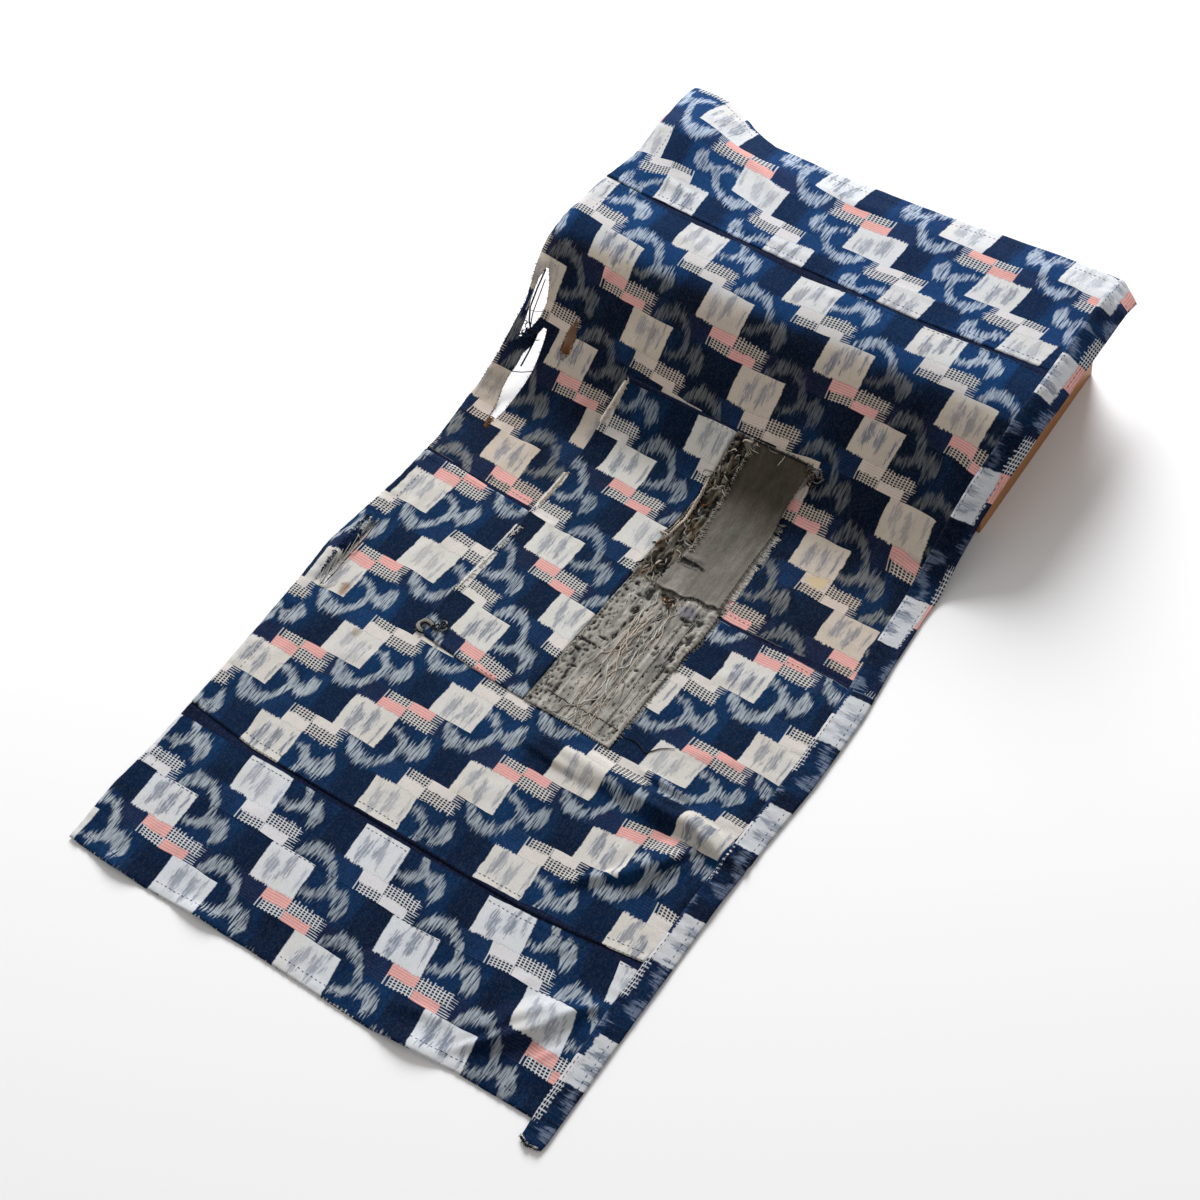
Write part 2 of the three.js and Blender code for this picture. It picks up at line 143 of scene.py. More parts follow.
FAR_HEM = [
    (-240, 530), (-190, 529), (-165, 518), (-136, 502), (-118, 494), (-95, 493), (-50, 487), (80, 486),
    (200, 492), (265, 490),
]
BAND_TAIL = [(236, -516), (246, -520), (262, -517)]
BAND_FAR = [(262, 489), (292, 480)]
PATCH_LEFT = [(-180, -133), (-100, -127), (-20, -119), (60, -117), (134, -116), (190, -107)]
PATCH_SPLIT = [(-180, 0), (-120, 2), (-30, 7), (60, 10), (125, 14), (190, 22)]
PLAIN_RIGHT = [
    (-180, 97), (-150, 97), (-112, 98), (-84, 99), (-76, 102), (-62, 101), (-40, 105), (-14, 105), (0, 101),
    (60, 99), (118, 96), (142, 99), (176, 114),
]
PATCH_NEAR = [(-133, -159), (-60, -168), (20, -174), (102, -179)]
PATCH_FAR = [(-110, 182), (-41, 179), (23, 175), (116, 173)]


def line(table, gap=0.0):
    """A function that reads a two-column table, moved sideways by gap."""
    xs, ys = np.array(table, float).T
    return lambda at: np.interp(at, xs, ys) + gap


# %% [markdown]
# ## Folds
# Cotton that has been folded away for years keeps soft ridges and creases. Each one is a row: its middle,
# its turn from the width direction, half its length, half its width and its height. The first table is
# the large folds, which the solids have too. The second is the finer creases, which only the sheet has.
# A bump that falls smoothly to nothing at its rim joins the flat cloth with no visible edge.

# %% Fold tables
FOLDS = [
    (120, -204, -2, 125, 17, 7), (212, -211, -12, 42, 13, 8), (190, -256, 66, 44, 15, 7),
    (182, -430, 48, 66, 20, 7), (62, -182, -4, 70, 12, 3), (-207, -500, -2, 34, 20, 4.5),
    (-114, -500, 0, 32, 18, 4.5), (112, -504, 4, 40, 22, 5), (-252, -112, 88, 58, 11, 6),
    (-205, 486, 118, 120, 62, 17),
]
CREASES = [
    # the sharp crests and steep lower flanks of the large folds
    (172, -209, -3, 48, 7, 5.8), (168, -222, 5, 38, 6, -1.6), (216, -214, -20, 32, 5, 4.4),
    (220, -221, -15, 22, 4, -2.4), (201, -250, 57, 50, 8, 6.8), (160, -291, 38, 48, 8, 5.2),
    (162, -184, -4, 40, 5, 3.8), (164, -191, -3, 36, 4, -1.5), (190, -438, 50, 62, 8, 6.4),
    (205, -450, 50, 50, 7, -1.4), (104, -470, 10, 44, 8, 2.2), (60, -212, -6, 60, 6, 2.4),
    (214, -404, 46, 34, 6, 3.4), (160, -470, 48, 34, 6, 3.0),
    # the gathered corner where the middle panel meets the band
    (205, -203, -6, 46, 6, 3.2), (228, -214, -30, 26, 5, 2.4), (168, -199, 4, 50, 5, 2.2),
    (176, -222, 18, 34, 7, -1.6), (214, -196, 8, 34, 5, -1.2), (222, -238, 58, 34, 6, 2.0),
    (206, -262, 70, 36, 6, 1.8), (158, -270, 74, 40, 8, 1.2), (236, -262, 82, 30, 5, 1.4),
    (150, -186, -3, 70, 5, -1.0), (90, -192, -2, 60, 5, 1.4), (60, -200, 2, 50, 6, 0.8),
    # the lip of the slit
    (-247, -112, 88, 52, 5, 3.2), (-236, -112, 87, 44, 4, 1.0),
    # the hem panel's right corner
    (196, -414, 46, 46, 8, 1.8), (166, -446, 52, 40, 8, 1.5), (214, -448, 60, 32, 7, 1.6),
    (222, -398, 40, 30, 7, 1.2), (150, -410, 36, 40, 9, 0.9), (120, -440, 58, 44, 10, 0.8),
    (206, -480, 70, 26, 7, 1.5), (140, -486, 76, 24, 8, 1.0),
    # soft diagonals over the flat
    (-192, -365, -60, 26, 6, 0.9), (-120, -380, 28, 60, 12, 0.6), (-30, -440, 35, 70, 14, 0.7),
    (40, -392, -22, 60, 12, 0.6), (-160, -440, 40, 60, 14, 0.6), (-215, -460, 62, 40, 10, 0.8),
    (-190, -290, 52, 70, 12, 0.7), (-90, -310, -34, 60, 12, 0.6), (20, -270, 30, 70, 13, 0.7),
    (-220, -220, 70, 60, 10, 0.8), (-160, -210, 20, 60, 11, 0.7), (-60, -250, -18, 70, 12, 0.6),
    (-170, -60, 60, 60, 11, 0.8), (-220, -30, 74, 50, 9, 1.0), (-190, -120, 30, 50, 10, 0.7),
    (150, -60, 20, 60, 12, 0.8), (200, -90, -30, 50, 11, 0.9), (180, -140, 14, 60, 9, 1.1),
    (220, -40, 70, 50, 9, 1.0), (140, 40, 40, 60, 14, 0.8), (200, 30, -20, 50, 12, 0.8),
    (-170, 60, 66, 60, 12, 0.9), (-200, 100, 80, 60, 9, 1.2), (-150, 120, 70, 60, 10, 0.9),
    (-80, 130, 62, 60, 12, 0.8), (-60, 40, 30, 60, 12, 0.7), (150, 130, 60, 70, 14, 1.0),
    (200, 120, 78, 70, 12, 1.0), (60, 220, 86, 70, 12, 0.8), (-20, 230, 80, 80, 14, 0.8),
    (160, 230, 80, 70, 13, 0.9), (-110, 230, 76, 80, 13, 0.9), (-180, 250, 68, 50, 9, 1.1),
    # over the top of the stand
    (-60, 368, -3, 120, 7, 0.9), (120, 372, 2, 120, 6, 0.8), (-120, 330, -4, 80, 9, 0.7),
    (60, 330, 2, 100, 8, 0.6), (-170, 385, -10, 60, 8, 1.4), (-140, 420, -32, 60, 9, 1.6),
    (-100, 440, -36, 60, 8, 1.6), (-60, 455, -30, 50, 8, 1.1), (0, 450, -8, 60, 9, 0.8),
    (60, 462, 6, 60, 9, 0.8), (130, 440, -10, 60, 8, 0.9), (190, 436, -16, 50, 8, 1.3),
    (230, 452, -40, 34, 8, 1.5), (214, 470, 30, 40, 8, 1.0), (-200, 440, -60, 44, 10, 1.8),
    (-215, 400, -70, 40, 9, 1.4), (-170, 500, 64, 40, 9, 1.3), (-200, 510, 72, 34, 7, 1.1),
]


def bumps(table, u, v):
    """The summed height of a table of folds."""
    height = np.zeros_like(u, dtype=float)
    for middle_u, middle_v, turn, length, width, rise in table:
        c, s = math.cos(math.radians(turn)), math.sin(math.radians(turn))
        a = ((u - middle_u) * c + (v - middle_v) * s) / length
        b = ((v - middle_v) * c - (u - middle_u) * s) / width
        inside = (np.abs(a) < 1) & (np.abs(b) < 1)
        height += np.where(inside, rise * (1 - a * a) ** 2 * (1 - b * b) ** 2, 0.0)
    return height


def ease(low, high, x):
    """0 below low and 1 above high, with a smooth step between."""
    t = np.clip((x - low) / (high - low), 0.0, 1.0)
    return t * t * (3 - 2 * t)


def bell(away, width):
    """1 where away is nothing, dying out softly past the width."""
    return np.exp(-((away / width) ** 2))


print(len(FOLDS), "folds and", len(CREASES), "creases")

# %% [markdown]
# ## From cloth to room
# `surface` gives the underside of the cloth at rest, with the large folds in it. The two side edges that
# overhang the stand bend down a little. `drape` then steps off that surface along its own normal, which
# is how thickness, fine creases and stitches are placed.

# %% Surface and drape
def over_edge(past, droop):
    """How far out and down a point lies once it is past a folded edge."""
    reach = np.maximum(past, 0.0)
    bend = np.minimum(reach, FOLD_RADIUS * droop) / FOLD_RADIUS
    rest = np.maximum(0.0, reach - FOLD_RADIUS * droop)
    out = FOLD_RADIUS * np.sin(bend) + rest * np.cos(bend)
    down = FOLD_RADIUS * (1 - np.cos(bend)) + rest * np.sin(bend)
    flat = (past <= 0) | (droop < 1e-4)
    return np.where(flat, past, out), np.where(flat, 0.0, down)


def surface(u, v):
    """The underside of the cloth, in the frame's millimetres."""
    y, z, angle = profile(v)
    fold = np.maximum(line(BAND_SEAM, -1.0)(v), STAND["right"] + EDGE_CLEAR)
    left_fold = STAND["left"] - LEFT_CLEAR
    on_stand = ease(NOSE_START - 40, NOSE_START + 50, v)
    corner = ease(NOSE_START - 25, NOSE_START + 30, v) * (1 - ease(TOP_START, TOP_START + 80, v))
    right_out, right_down = over_edge(u - fold, BAND_DROOP * on_stand)
    left_out, left_down = over_edge(left_fold - u, LEFT_DROOP * corner)
    x = np.where(u > fold, fold + right_out, u)
    x = np.where(u < left_fold, left_fold - left_out, x)
    rise = bumps(FOLDS, u, v) - right_down - left_down
    place = [x - CENTRE[0], y - rise * np.sin(angle) - CENTRE[1], z + rise * np.cos(angle)]
    return np.stack(place, -1)


def drape(u, v, n):
    """A point n above the underside, in metres."""
    u, v = np.asarray(u, float), np.asarray(v, float)
    step = 0.5
    across = surface(u + step, v) - surface(u - step, v)
    along = surface(u, v + step) - surface(u, v - step)
    normal = np.cross(across, along)
    normal /= np.linalg.norm(normal, axis=-1, keepdims=True)
    return (surface(u, v) + normal * np.asarray(n, float)[..., None]) * MM


print("nose point:", drape(0.0, TOP_START, 0.0).round(4))


# %% [markdown]
# ## Small unevenness
# Handwoven cotton is never quite flat, and near a line of hand stitching it puckers. Repeatable value
# noise, made from a seeded lattice of random numbers, gives both without any image.

# %% Smooth noise and puckers
def make_noise(seed, size=64):
    """A noise function of its own for each seed."""
    lattice = np.random.default_rng(seed).uniform(-1, 1, (size, size))

    def noise(x, y):
        """Smooth noise from -1 to 1, with features about one unit wide."""
        i, j = np.floor(x).astype(int), np.floor(y).astype(int)
        fx, fy = x - i, y - j
        fx, fy = fx * fx * (3 - 2 * fx), fy * fy * (3 - 2 * fy)
        a = lattice[i % size, j % size] * (1 - fx) + lattice[(i + 1) % size, j % size] * fx
        b = lattice[i % size, (j + 1) % size] * (1 - fx) + lattice[(i + 1) % size, (j + 1) % size] * fx
        return a * (1 - fy) + b * fy

    return noise


broad, medium, fine = make_noise(3), make_noise(5), make_noise(8)


def unevenness(u, v):
    """The slight waviness that all of the cloth has."""
    drawn = 1 - 2 * np.abs(medium(u / 21 + v / 44, v / 30 - u / 70))
    soft = 0.55 * broad(u / 46, v / 38) + 0.34 * medium(u / 17 + v / 60, v / 19)
    return soft + 0.22 * drawn + 0.10 * fine(u / 6, v / 7)


def pucker(u, v, away, period=11.0, reach=16.0, height=0.5):
    """Ripples square to a seam that die out away from it. away is the distance from the seam."""
    phase = (u + 2.2 * broad(u / 31, v / 29)) * 2 * math.pi / period
    return height * np.sin(phase) * bell(away, reach) * (0.6 + 0.4 * medium(u / 23, v / 23))


print("noise range:", unevenness(np.arange(200.0), np.arange(200.0)).round(2)[:4])


# %% [markdown]
# ## The repeat
# The weaver's repeat is small: a white block, a link of four small blocks that steps down to the next
# white block, and a hooked figure beside it, in rows that shift by half a repeat. It is charted here in
# millimetres from the white block's corner, a across and b upward. The hooked figure is two strokes, and
# each stroke is the space between a lower and an upper line. Every loom width was sewn on its own way
# round and has stretched in its own way, so a table says where block corners fall on each width. A
# least-squares fit through them gives a smooth chart, and what is left over is shared out nearby.

# %% The chart
ACROSS, ROW, SHIFT = 136.0, 59.0, 68.0
# heights in the chart: the foot of a white block, and the middle and the foot of the link below it
BLOCK_FOOT, LINK_MIDDLE, LINK_FOOT = -38.0, -49.6, -60.0
# the woven grid of a link: one mesh of it across and upward
MESH_ACROSS, MESH_UP = 3.75, 2.5
ARCH_LOW = [
    (22, 8), (25, 1), (28, 0), (34, 3), (38, 6), (44, 9), (52, 10.5), (58, 7.5), (62, 4), (65, -1),
    (67, -8), (68.5, -16), (72, -20), (76, -18), (80, -8),
]
ARCH_TOP = [
    (22, -4), (25, 4), (28, 10), (33, 16), (38, 20), (46, 20.5), (54, 18.5), (60, 15), (65, 11), (69, 6),
    (72.5, 0), (75, -7), (77, -14), (80, -24),
]
HOOK_LOW = [
    (47, -18), (51, -27), (56, -28.5), (62, -28), (66, -26), (70, -23), (74, -20), (78, -18), (82, -20),
    (84.5, -22), (86, -31), (90, -32), (94, -30), (97, -26), (101, -14),
]
HOOK_TOP = [
    (47, -32), (51, -24.5), (56, -23.5), (60, -22.5), (64, -20), (66.5, -15), (69, -11), (78, -10.5),
    (82, -8), (86, -7), (90, -8), (94, -11), (97, -16), (101, -32),
]

# Block corners: row and column in the repeat, then u and v on the cloth.
CORNERS = {
    "panel_hem": [
        (0, 0, -240, -401), (0, 1, -104, -403), (0, 2, 30, -408), (0, 3, 168, -403), (1, 0, -171, -461),
        (1, 1, -33, -463), (1, 2, 107, -465), (-1, 1, -176, -343), (-1, 2, -44, -347), (-1, 3, 90, -350),
        (-1, 4, 220, -345),
    ],
    "panel_middle": [
        (-1, 0, -198, -340), (-1, 1, -64, -341), (-1, 2, 68, -345), (-1, 3, 197, -341), (0, 0, -136, -280),
        (0, -1, -263, -275), (0, 1, -3, -283), (0, 2, 130, -285), (1, -1, -196, -220), (1, 0, -68, -225),
        (1, 1, 62, -230), (1, 2, 190, -222), (2, -2, -260, -163), (2, 1, 128, -180), (3, -2, -195, -104),
        (3, 1, 200, -133), (4, -3, -250, -40), (4, 0, 135, -71), (5, -3, -182, 17), (5, 0, 198, -14),
    ],
    "panel_upper": [
        (-1, 1, -127, 350), (-1, 2, 5, 338), (-1, 3, 138, 338), (0, 0, -207, 310), (0, 1, -70, 297),
        (0, 2, 63, 291), (0, 3, 195, 288), (1, 0, -132, 244), (1, 1, -4, 234), (1, 2, 130, 235),
        (1, -1, -262, 262), (2, -1, -195, 197), (2, 2, 182, 177), (3, -1, -135, 138), (3, 1, 125, 116),
        (4, -2, -202, 78), (4, 0, 56, 53), (4, 1, 190, 52), (5, -2, -134, 14), (5, 0, 124, -8),
        (5, 1, 256, -8),
    ],
    "panel_top": [
        (0, 0, 125, 342), (0, -1, 250, 342), (0, 1, -5, 345), (0, 2, -133, 362), (1, 0, 73, 387),
        (1, -1, 200, 390), (1, 1, -62, 392), (2, -1, 140, 445), (2, -2, 262, 445), (2, 0, 0, 442),
        (2, 1, -145, 462), (3, 0, -65, 529), (3, -1, 75, 527), (3, -2, 200, 526), (3, 1, -215, 545),
    ],
    "patch_kasuri": [
        (0, 0, -23, 175), (1, -1, -90, 120), (2, -1, -28, 58), (3, -2, -97, 5), (4, -2, -37, -57),
        (5, -3, -101, -106),
    ],
}
# on these two the odd rows of the table have the pink links, and on the others the even rows
ODD_ROWS_PINK = ("patch_kasuri", "panel_top")
# how far round a corner its own correction reaches
SPREAD = 38.0


def chart_of(name, u, v):
    """The repeat's own coordinates, in millimetres, for points of one width."""
    row, column, corner_u, corner_v = np.array(CORNERS[name], float).T
    if name in ODD_ROWS_PINK:
        row = row + 1
    goal = np.stack([ACROSS * column + SHIFT * row, -ROW * row], 1)
    terms = lambda x, y: np.stack([np.ones_like(x), x, y, x * y / 1000], -1)
    fit = np.linalg.lstsq(terms(corner_u, corner_v), goal, rcond=None)[0]
    missed = goal - terms(corner_u, corner_v) @ fit
    shares = [np.exp(-((u - x) ** 2 + (v - y) ** 2) / (2 * SPREAD**2)) for x, y in zip(corner_u, corner_v)]
    shares = np.stack(shares, -1)
    total = np.maximum(shares.sum(-1, keepdims=True), 0.5)
    return terms(u, v) @ fit + (shares / total) @ missed


# The side band is two lengths, cut with the repeat running along it and joined end to end. Each has the
# chart's a against v, and the line in u where the chart's b is at a white block's foot.
BAND_JOIN = -17.0
UPPER_BAND = [
    (-40, -74), (-15, -50), (41, 0), (98, 50), (135, 84), (181, 136), (234, 186), (270, 220), (314, 272),
    (370, 322), (406, 356), (436, 408), (490, 458), (530, 500),
]
LOWER_BAND = [
    (-530, 524), (-515, 510), (-490, 486), (-459, 458), (-409, 408), (-395, 376), (-362, 350), (-331, 322),
    (-280, 272), (-262, 240), (-235, 212), (-203, 186), (-153, 136), (-135, 104), (-106, 76), (-77, 50),
    (-22, 0), (0, -20),
]
UPPER_LINE = [
    (-15, 262), (41, 262.5), (98, 263), (135, 262), (181, 267), (234, 271), (313, 280), (370, 281),
    (436, 279), (490, 276),
]
LOWER_LINE = [(-515, 242), (-240, 243), (-201, 244), (-153, 247), (-106, 250), (-77, 250), (-22, 249)]


def band_chart(u, v):
    """The chart along the side band. The lower length is one row on, which makes its links white."""
    upper = np.stack([line(UPPER_BAND)(v), BLOCK_FOOT - (u - line(UPPER_LINE)(v))], -1)
    lower = np.stack([line(LOWER_BAND)(v) + SHIFT, BLOCK_FOOT - ROW + (u - line(LOWER_LINE)(v))], -1)
    return np.where((v > BAND_JOIN)[..., None], upper, lower)


for name in CORNERS:
    step = chart_of(name, np.array([0.0, 100.0]), np.array([0.0, 0.0]))
    print(f"{name}: 100 mm of cloth is {step[1, 0] - step[0, 0]:.0f} mm of the chart")


# %% [markdown]
# ## Sums as wires
# The repeat becomes a material through several hundred nodes. Wiring them one by one is hard to read, so
# a small class lets a sum be written as a sum, and each operation adds the node that does it.

# %% A number that flows through a node tree
class Wire:
    """A value inside a node tree."""

    def __init__(self, socket):
        self.socket, self.tree = socket, socket.id_data

    def math(self, operation, *others):
        node = self.tree.nodes.new("ShaderNodeMath")
        node.operation = operation
        for socket, value in zip(node.inputs, (self, *others)):
            link(value, socket)
        return Wire(node.outputs[0])

    def __add__(self, other):
        return self.math("ADD", other)

    def __sub__(self, other):
        return self.math("SUBTRACT", other)

    def __rsub__(self, other):
        return self * -1.0 + other

    def __mul__(self, other):
        return self.math("MULTIPLY", other)

    def __truediv__(self, number):
        return self * (1 / number)

    def floor(self):
        return self.math("FLOOR")

    def wrap(self, period):
        return self.math("FLOORED_MODULO", period)

    def size(self):
        return self.math("ABSOLUTE")

    def most(self, other):
        return self.math("MAXIMUM", other)

    def clip(self):
        node = self.tree.nodes.new("ShaderNodeClamp")
        link(self, node.inputs["Value"])
        return Wire(node.outputs[0])

    def above(self, edge, soft=0.6):
        """0 below an edge and 1 above it, softly."""
        return ((self - edge) / soft + 0.5).clip()

    def below(self, edge, soft=0.6):
        """1 below an edge and 0 above it, softly."""
        return (self * -1.0).above(-edge, soft)

    def between(self, low, high, soft=0.6):
        return self.above(low, soft) * self.below(high, soft)


def link(value, socket):
    """Feeds a socket with a wire, with another socket or with a plain value."""
    if isinstance(value, Wire):
        value = value.socket
    if isinstance(value, bpy.types.NodeSocket):
        socket.id_data.links.new(value, socket)
    else:
        socket.default_value = value


def chance(seed):
    """A random number from 0 to 1 for each whole number that flows in."""
    node = seed.tree.nodes.new("ShaderNodeTexWhiteNoise")
    node.noise_dimensions = "1D"
    link(seed, node.inputs["W"])
    return Wire(node.outputs["Value"])


def cloud(vector, scale, detail=2.0, roughness=0.5):
    """Soft noise that hangs on a vector. scale is features for each unit of the vector."""
    node = vector.id_data.nodes.new("ShaderNodeTexNoise")
    link(vector, node.inputs["Vector"])
    for label, value in (("Scale", scale), ("Detail", detail), ("Roughness", roughness)):
        link(value, node.inputs[label])
    return Wire(node.outputs["Fac"])


def stretched(x, y):
    """Two wires as one vector."""
    node = x.tree.nodes.new("ShaderNodeCombineXYZ")
    link(x, node.inputs["X"])
    link(y, node.inputs["Y"])
    return node.outputs["Vector"]


def split(vector):
    """A vector's three values as wires."""
    node = vector.id_data.nodes.new("ShaderNodeSeparateXYZ")
    link(vector, node.inputs[0])
    return [Wire(node.outputs[axis]) for axis in "XYZ"]


def charted(x, table, low=-40.0, high=30.0, span=ACROSS):
    """Reads a two-column table with a Float Curve node, straight between its rows."""
    node = x.tree.nodes.new("ShaderNodeFloatCurve")
    curve = node.mapping.curves[0]
    rows = [(0.0, table[0][1])] + list(table) + [(span, table[-1][1])]
    rows = [(a / span, (b - low) / (high - low)) for a, b in rows]
    curve.points[0].location, curve.points[1].location = rows[0], rows[-1]
    for place in rows[1:-1]:
        curve.points.new(*place)
    for point in curve.points:
        point.handle_type = "VECTOR"
    node.mapping.update()
    link(x / span, node.inputs["Value"])
    return Wire(node.outputs[0]) * (high - low) + low


def mix(amount, under, over):
    """One colour laid over another, as much as the amount says."""
    node = amount.tree.nodes.new("ShaderNodeMix")
    node.data_type = "RGBA"
    link(amount, node.inputs["Factor"])
    for value, label in ((under, "A"), (over, "B")):
        link(value, next(s for s in node.inputs if s.name == label and s.type == "RGBA"))
    return next(s for s in node.outputs if s.type == "RGBA")


def layered(base, *layers):
    """A colour with others laid over it in turn. A layer is how much of it shows, and its colour."""
    for amount, colour in layers:
        base = mix(amount, base, colour)
    return base


def scaled(colour, factor):
    """A colour made lighter or darker."""
    node = colour.id_data.nodes.new("ShaderNodeVectorMath")
    node.operation = "SCALE"
    link(colour, node.inputs[0])
    link(factor, node.inputs["Scale"])
    return node.outputs[0]


def tone(red, green, blue):
    """A colour in the usual 0 to 255, as the linear values that a shader wants."""
    linear = [c / 255 / 12.92 if c <= 10 else ((c / 255 + 0.055) / 1.055) ** 2.4 for c in (red, green, blue)]
    return (*linear, 1.0)


def new_material(name, settings):
    """A material with some of its shader's inputs set, and then its tree and its shader."""
    material = bpy.data.materials.new(name)
    material.use_nodes = True
    shader = material.node_tree.nodes["Principled BSDF"]
    for label, value in settings.items():
        shader.inputs[label].default_value = value
    return material, material.node_tree, shader


def emboss(shader, height, strength, distance):
    """A Bump node in front of a shader's normal."""
    bump = shader.id_data.nodes.new("ShaderNodeBump")
    link(strength, bump.inputs["Strength"])
    link(distance, bump.inputs["Distance"])
    link(height, bump.inputs["Height"])
    link(bump.outputs["Normal"], shader.inputs["Normal"])


def stored(tree, name):
    """The outputs of a node that reads an attribute stored on the mesh."""
    node = tree.nodes.new("ShaderNodeAttribute")
    node.attribute_name = name
    return node.outputs


print("helpers ready")

# %% [markdown]
# ## The kasuri group
# Wefts were bound and dyed before weaving. On the loom each yarn slides a little, so a figure's edge is a
# comb of yarn ends rather than a line. The group numbers the yarns, gives each a random slide, and only
# then asks which part of the repeat a point is in. Blocks slide little and the hooked figure slides far.
# The four-part links have a woven grid of white warps and wefts in two of their quarters. The group
# takes its colours as inputs, so each loom width can be a little more faded than the next.

# %% Build the kasuri group
# the width of a warp yarn here and, in the next group, of a weft yarn
YARN, PICK = 1.05, 1.1
TONES = ("Ground", "White", "Pink", "Ash")


def new_group(name, inputs, outputs):
    """An empty node group: its tree, the sockets that come in and those that go out."""
    tree = bpy.data.node_groups.new(name, "ShaderNodeTree")
    for direction, sockets in (("INPUT", inputs), ("OUTPUT", outputs)):
        for label, kind in sockets.items():
            tree.interface.new_socket(label, in_out=direction, socket_type="NodeSocket" + kind)
    entry, leave = tree.nodes.new("NodeGroupInput"), tree.nodes.new("NodeGroupOutput")
    return tree, entry.outputs, leave.inputs


def build_kasuri():
    """The repeat as a node group. Past its first and last rows the ground is plain."""
    inputs = {"Chart": "Vector", "Weave": "Vector", "First row": "Float", "Last row": "Float"}
    inputs.update(dict.fromkeys(TONES, "Color"))
    tree, given, result = new_group("Kasuri", inputs, {"Color": "Color"})
    across, along, _ = split(given["Weave"])
    yarn = (across / YARN).floor()
    slide, other_slide = chance(yarn), chance(yarn + 811.0)
    pair = chance((across / 2.6).floor() + 97.0)
    streaky = cloud(stretched(across, along * 0.10), 0.60, 2.0)
    ends = (pair - 0.5) * 5.0 + (slide - 0.5) * 4.0

    # the chart, pulled about a little
    # the chart's third value is how pale the cloth is, partly rubbing and partly painted light and shade
    a, b, wear_and_light = split(given["Chart"])
    a = a + (cloud(given["Weave"], 0.022, 1.0) - 0.5) * 5.0
    b = b + (cloud(given["Weave"], 0.03, 1.0) - 0.5) * 4.0
    shaken = b + (slide - 0.5) * 2.2
    plain = (b - Wire(given["First row"])).above(0.3, 0.5)
    plain = plain.most((Wire(given["Last row"]) - b).above(0.3, 0.5))
    row = (b * (-1 / ROW)).floor()
    odd = row.wrap(2.0)
    down, comb_down = b + row * ROW, shaken + row * ROW
    past = a - row * SHIFT
    right = past.wrap(ACROSS)
    column = (past / ACROSS).floor()
    below_right = (right - SHIFT).wrap(ACROSS)
    below_up = down + ROW

    # the hooked figure, with long yarn ends
    over = slide * slide * 6.0 + (pair - 0.5) * 3.0 - 2.0
    below = other_slide * other_slide * 6.0 + (pair - 0.5) * 2.4 - 2.0

    def stroke(x, y, low, top):
        return (y - charted(x, low) + below).above(-1.0, 4.0) * (charted(x, top) - y + over).above(-1.0, 4.0)

    figure = stroke(right, down, ARCH_LOW, ARCH_TOP)
    figure = figure.most(stroke(below_right, below_up, ARCH_LOW, ARCH_TOP))
    figure = figure.most(stroke(right, down, HOOK_LOW, HOOK_TOP))
    # the figure is fainter where the cloth is less pale, so the slope's painted shade dims it
    figure = figure * (chance(yarn + 57.0) * 0.62 + streaky * 4.5 - 1.80).clip() * (wear_and_light * 1.5 + 0.30).clip()

    # the white block and the blue combs that bled into it
    edge = right + (cloud(stretched(along, row * 40.0), 0.09, 3.0, 0.75) - 0.5) * 5.0
    block = edge.between(0.4, 50.0, 1.1) * comb_down.above(BLOCK_FOOT, 1.3)
    which = column * 7.3 + row * 13.1
    lean = (chance(which) - 0.5) * 7.0
    slow = cloud(stretched(right, which * 10.0), 0.085, 1.0)
    thick = 1.0 - (right - 16.0 + lean).size() / 9.5
    thick = thick.most(1.0 - (right - 31.0 + lean).size() / 8.5)
    thick = thick.most(0.75 - (right - 43.0 - lean).size() / 5.0)
    middle = (slow - 0.5) * 44.0 - 18.0
    envelope = (thick * 1.3).clip() * (11.5 - (down - middle).size() + slide * 5.0).above(0.0, 10.0)
    broken = cloud(stretched(across, along * 0.17), 0.55, 3.0, 0.6)
    comb = (broken + envelope * 0.31 - 0.71).above(0.0, 0.12) * (chance(yarn + 33.0) * 0.5 + 0.5)
    haze = (thick * 1.5).clip() * (down - middle).size().below(10.0, 8.0)

    # the four-part link: two solid quarters, two woven as a grid
    ragged = chance((down / MESH_UP).floor() + row * 31.0) * 6.0
    spikes = chance((right / MESH_ACROSS).floor() + row * 17.0) * 3.0
    upper = comb_down.between(LINK_MIDDLE, BLOCK_FOOT)
    lower = comb_down.between(LINK_FOOT, LINK_MIDDLE)
    solid = upper * right.between(23.0, 50.4) + lower * right.between(51.0, 78.5)
    dark = upper * right.between(50.4, 84.0) + lower * right.between(28.0, 51.0)
    warps = (right - 22.7).wrap(MESH_ACROSS).between(0.2, 1.45, 0.5)
    wefts = (down + 0.6).wrap(MESH_UP).between(0.2, 1.1, 0.4)
    lattice = dark * (warps * 0.88 + wefts * 0.78)
    beyond = lower * right.between(78.5, 90.0) * (right + ragged).below(89.0, 1.0)
    beyond = beyond.most(upper * right.between(84.0, 94.0) * (right + ragged).below(90.0, 1.0))
    lattice = lattice.most(beyond * wefts * 0.85)
    before = lower * right.between(21.0, 28.0)
    fringe = right.between(50.4, 84.0) * (down - spikes).below(BLOCK_FOOT, 1.0) * down.above(BLOCK_FOOT)
    foot = right.between(21.0, 51.0) * (down + spikes).above(LINK_FOOT, 1.0) * down.below(-59.5)
    lattice = lattice.most(before.most(fringe.most(foot)) * warps * 0.8)

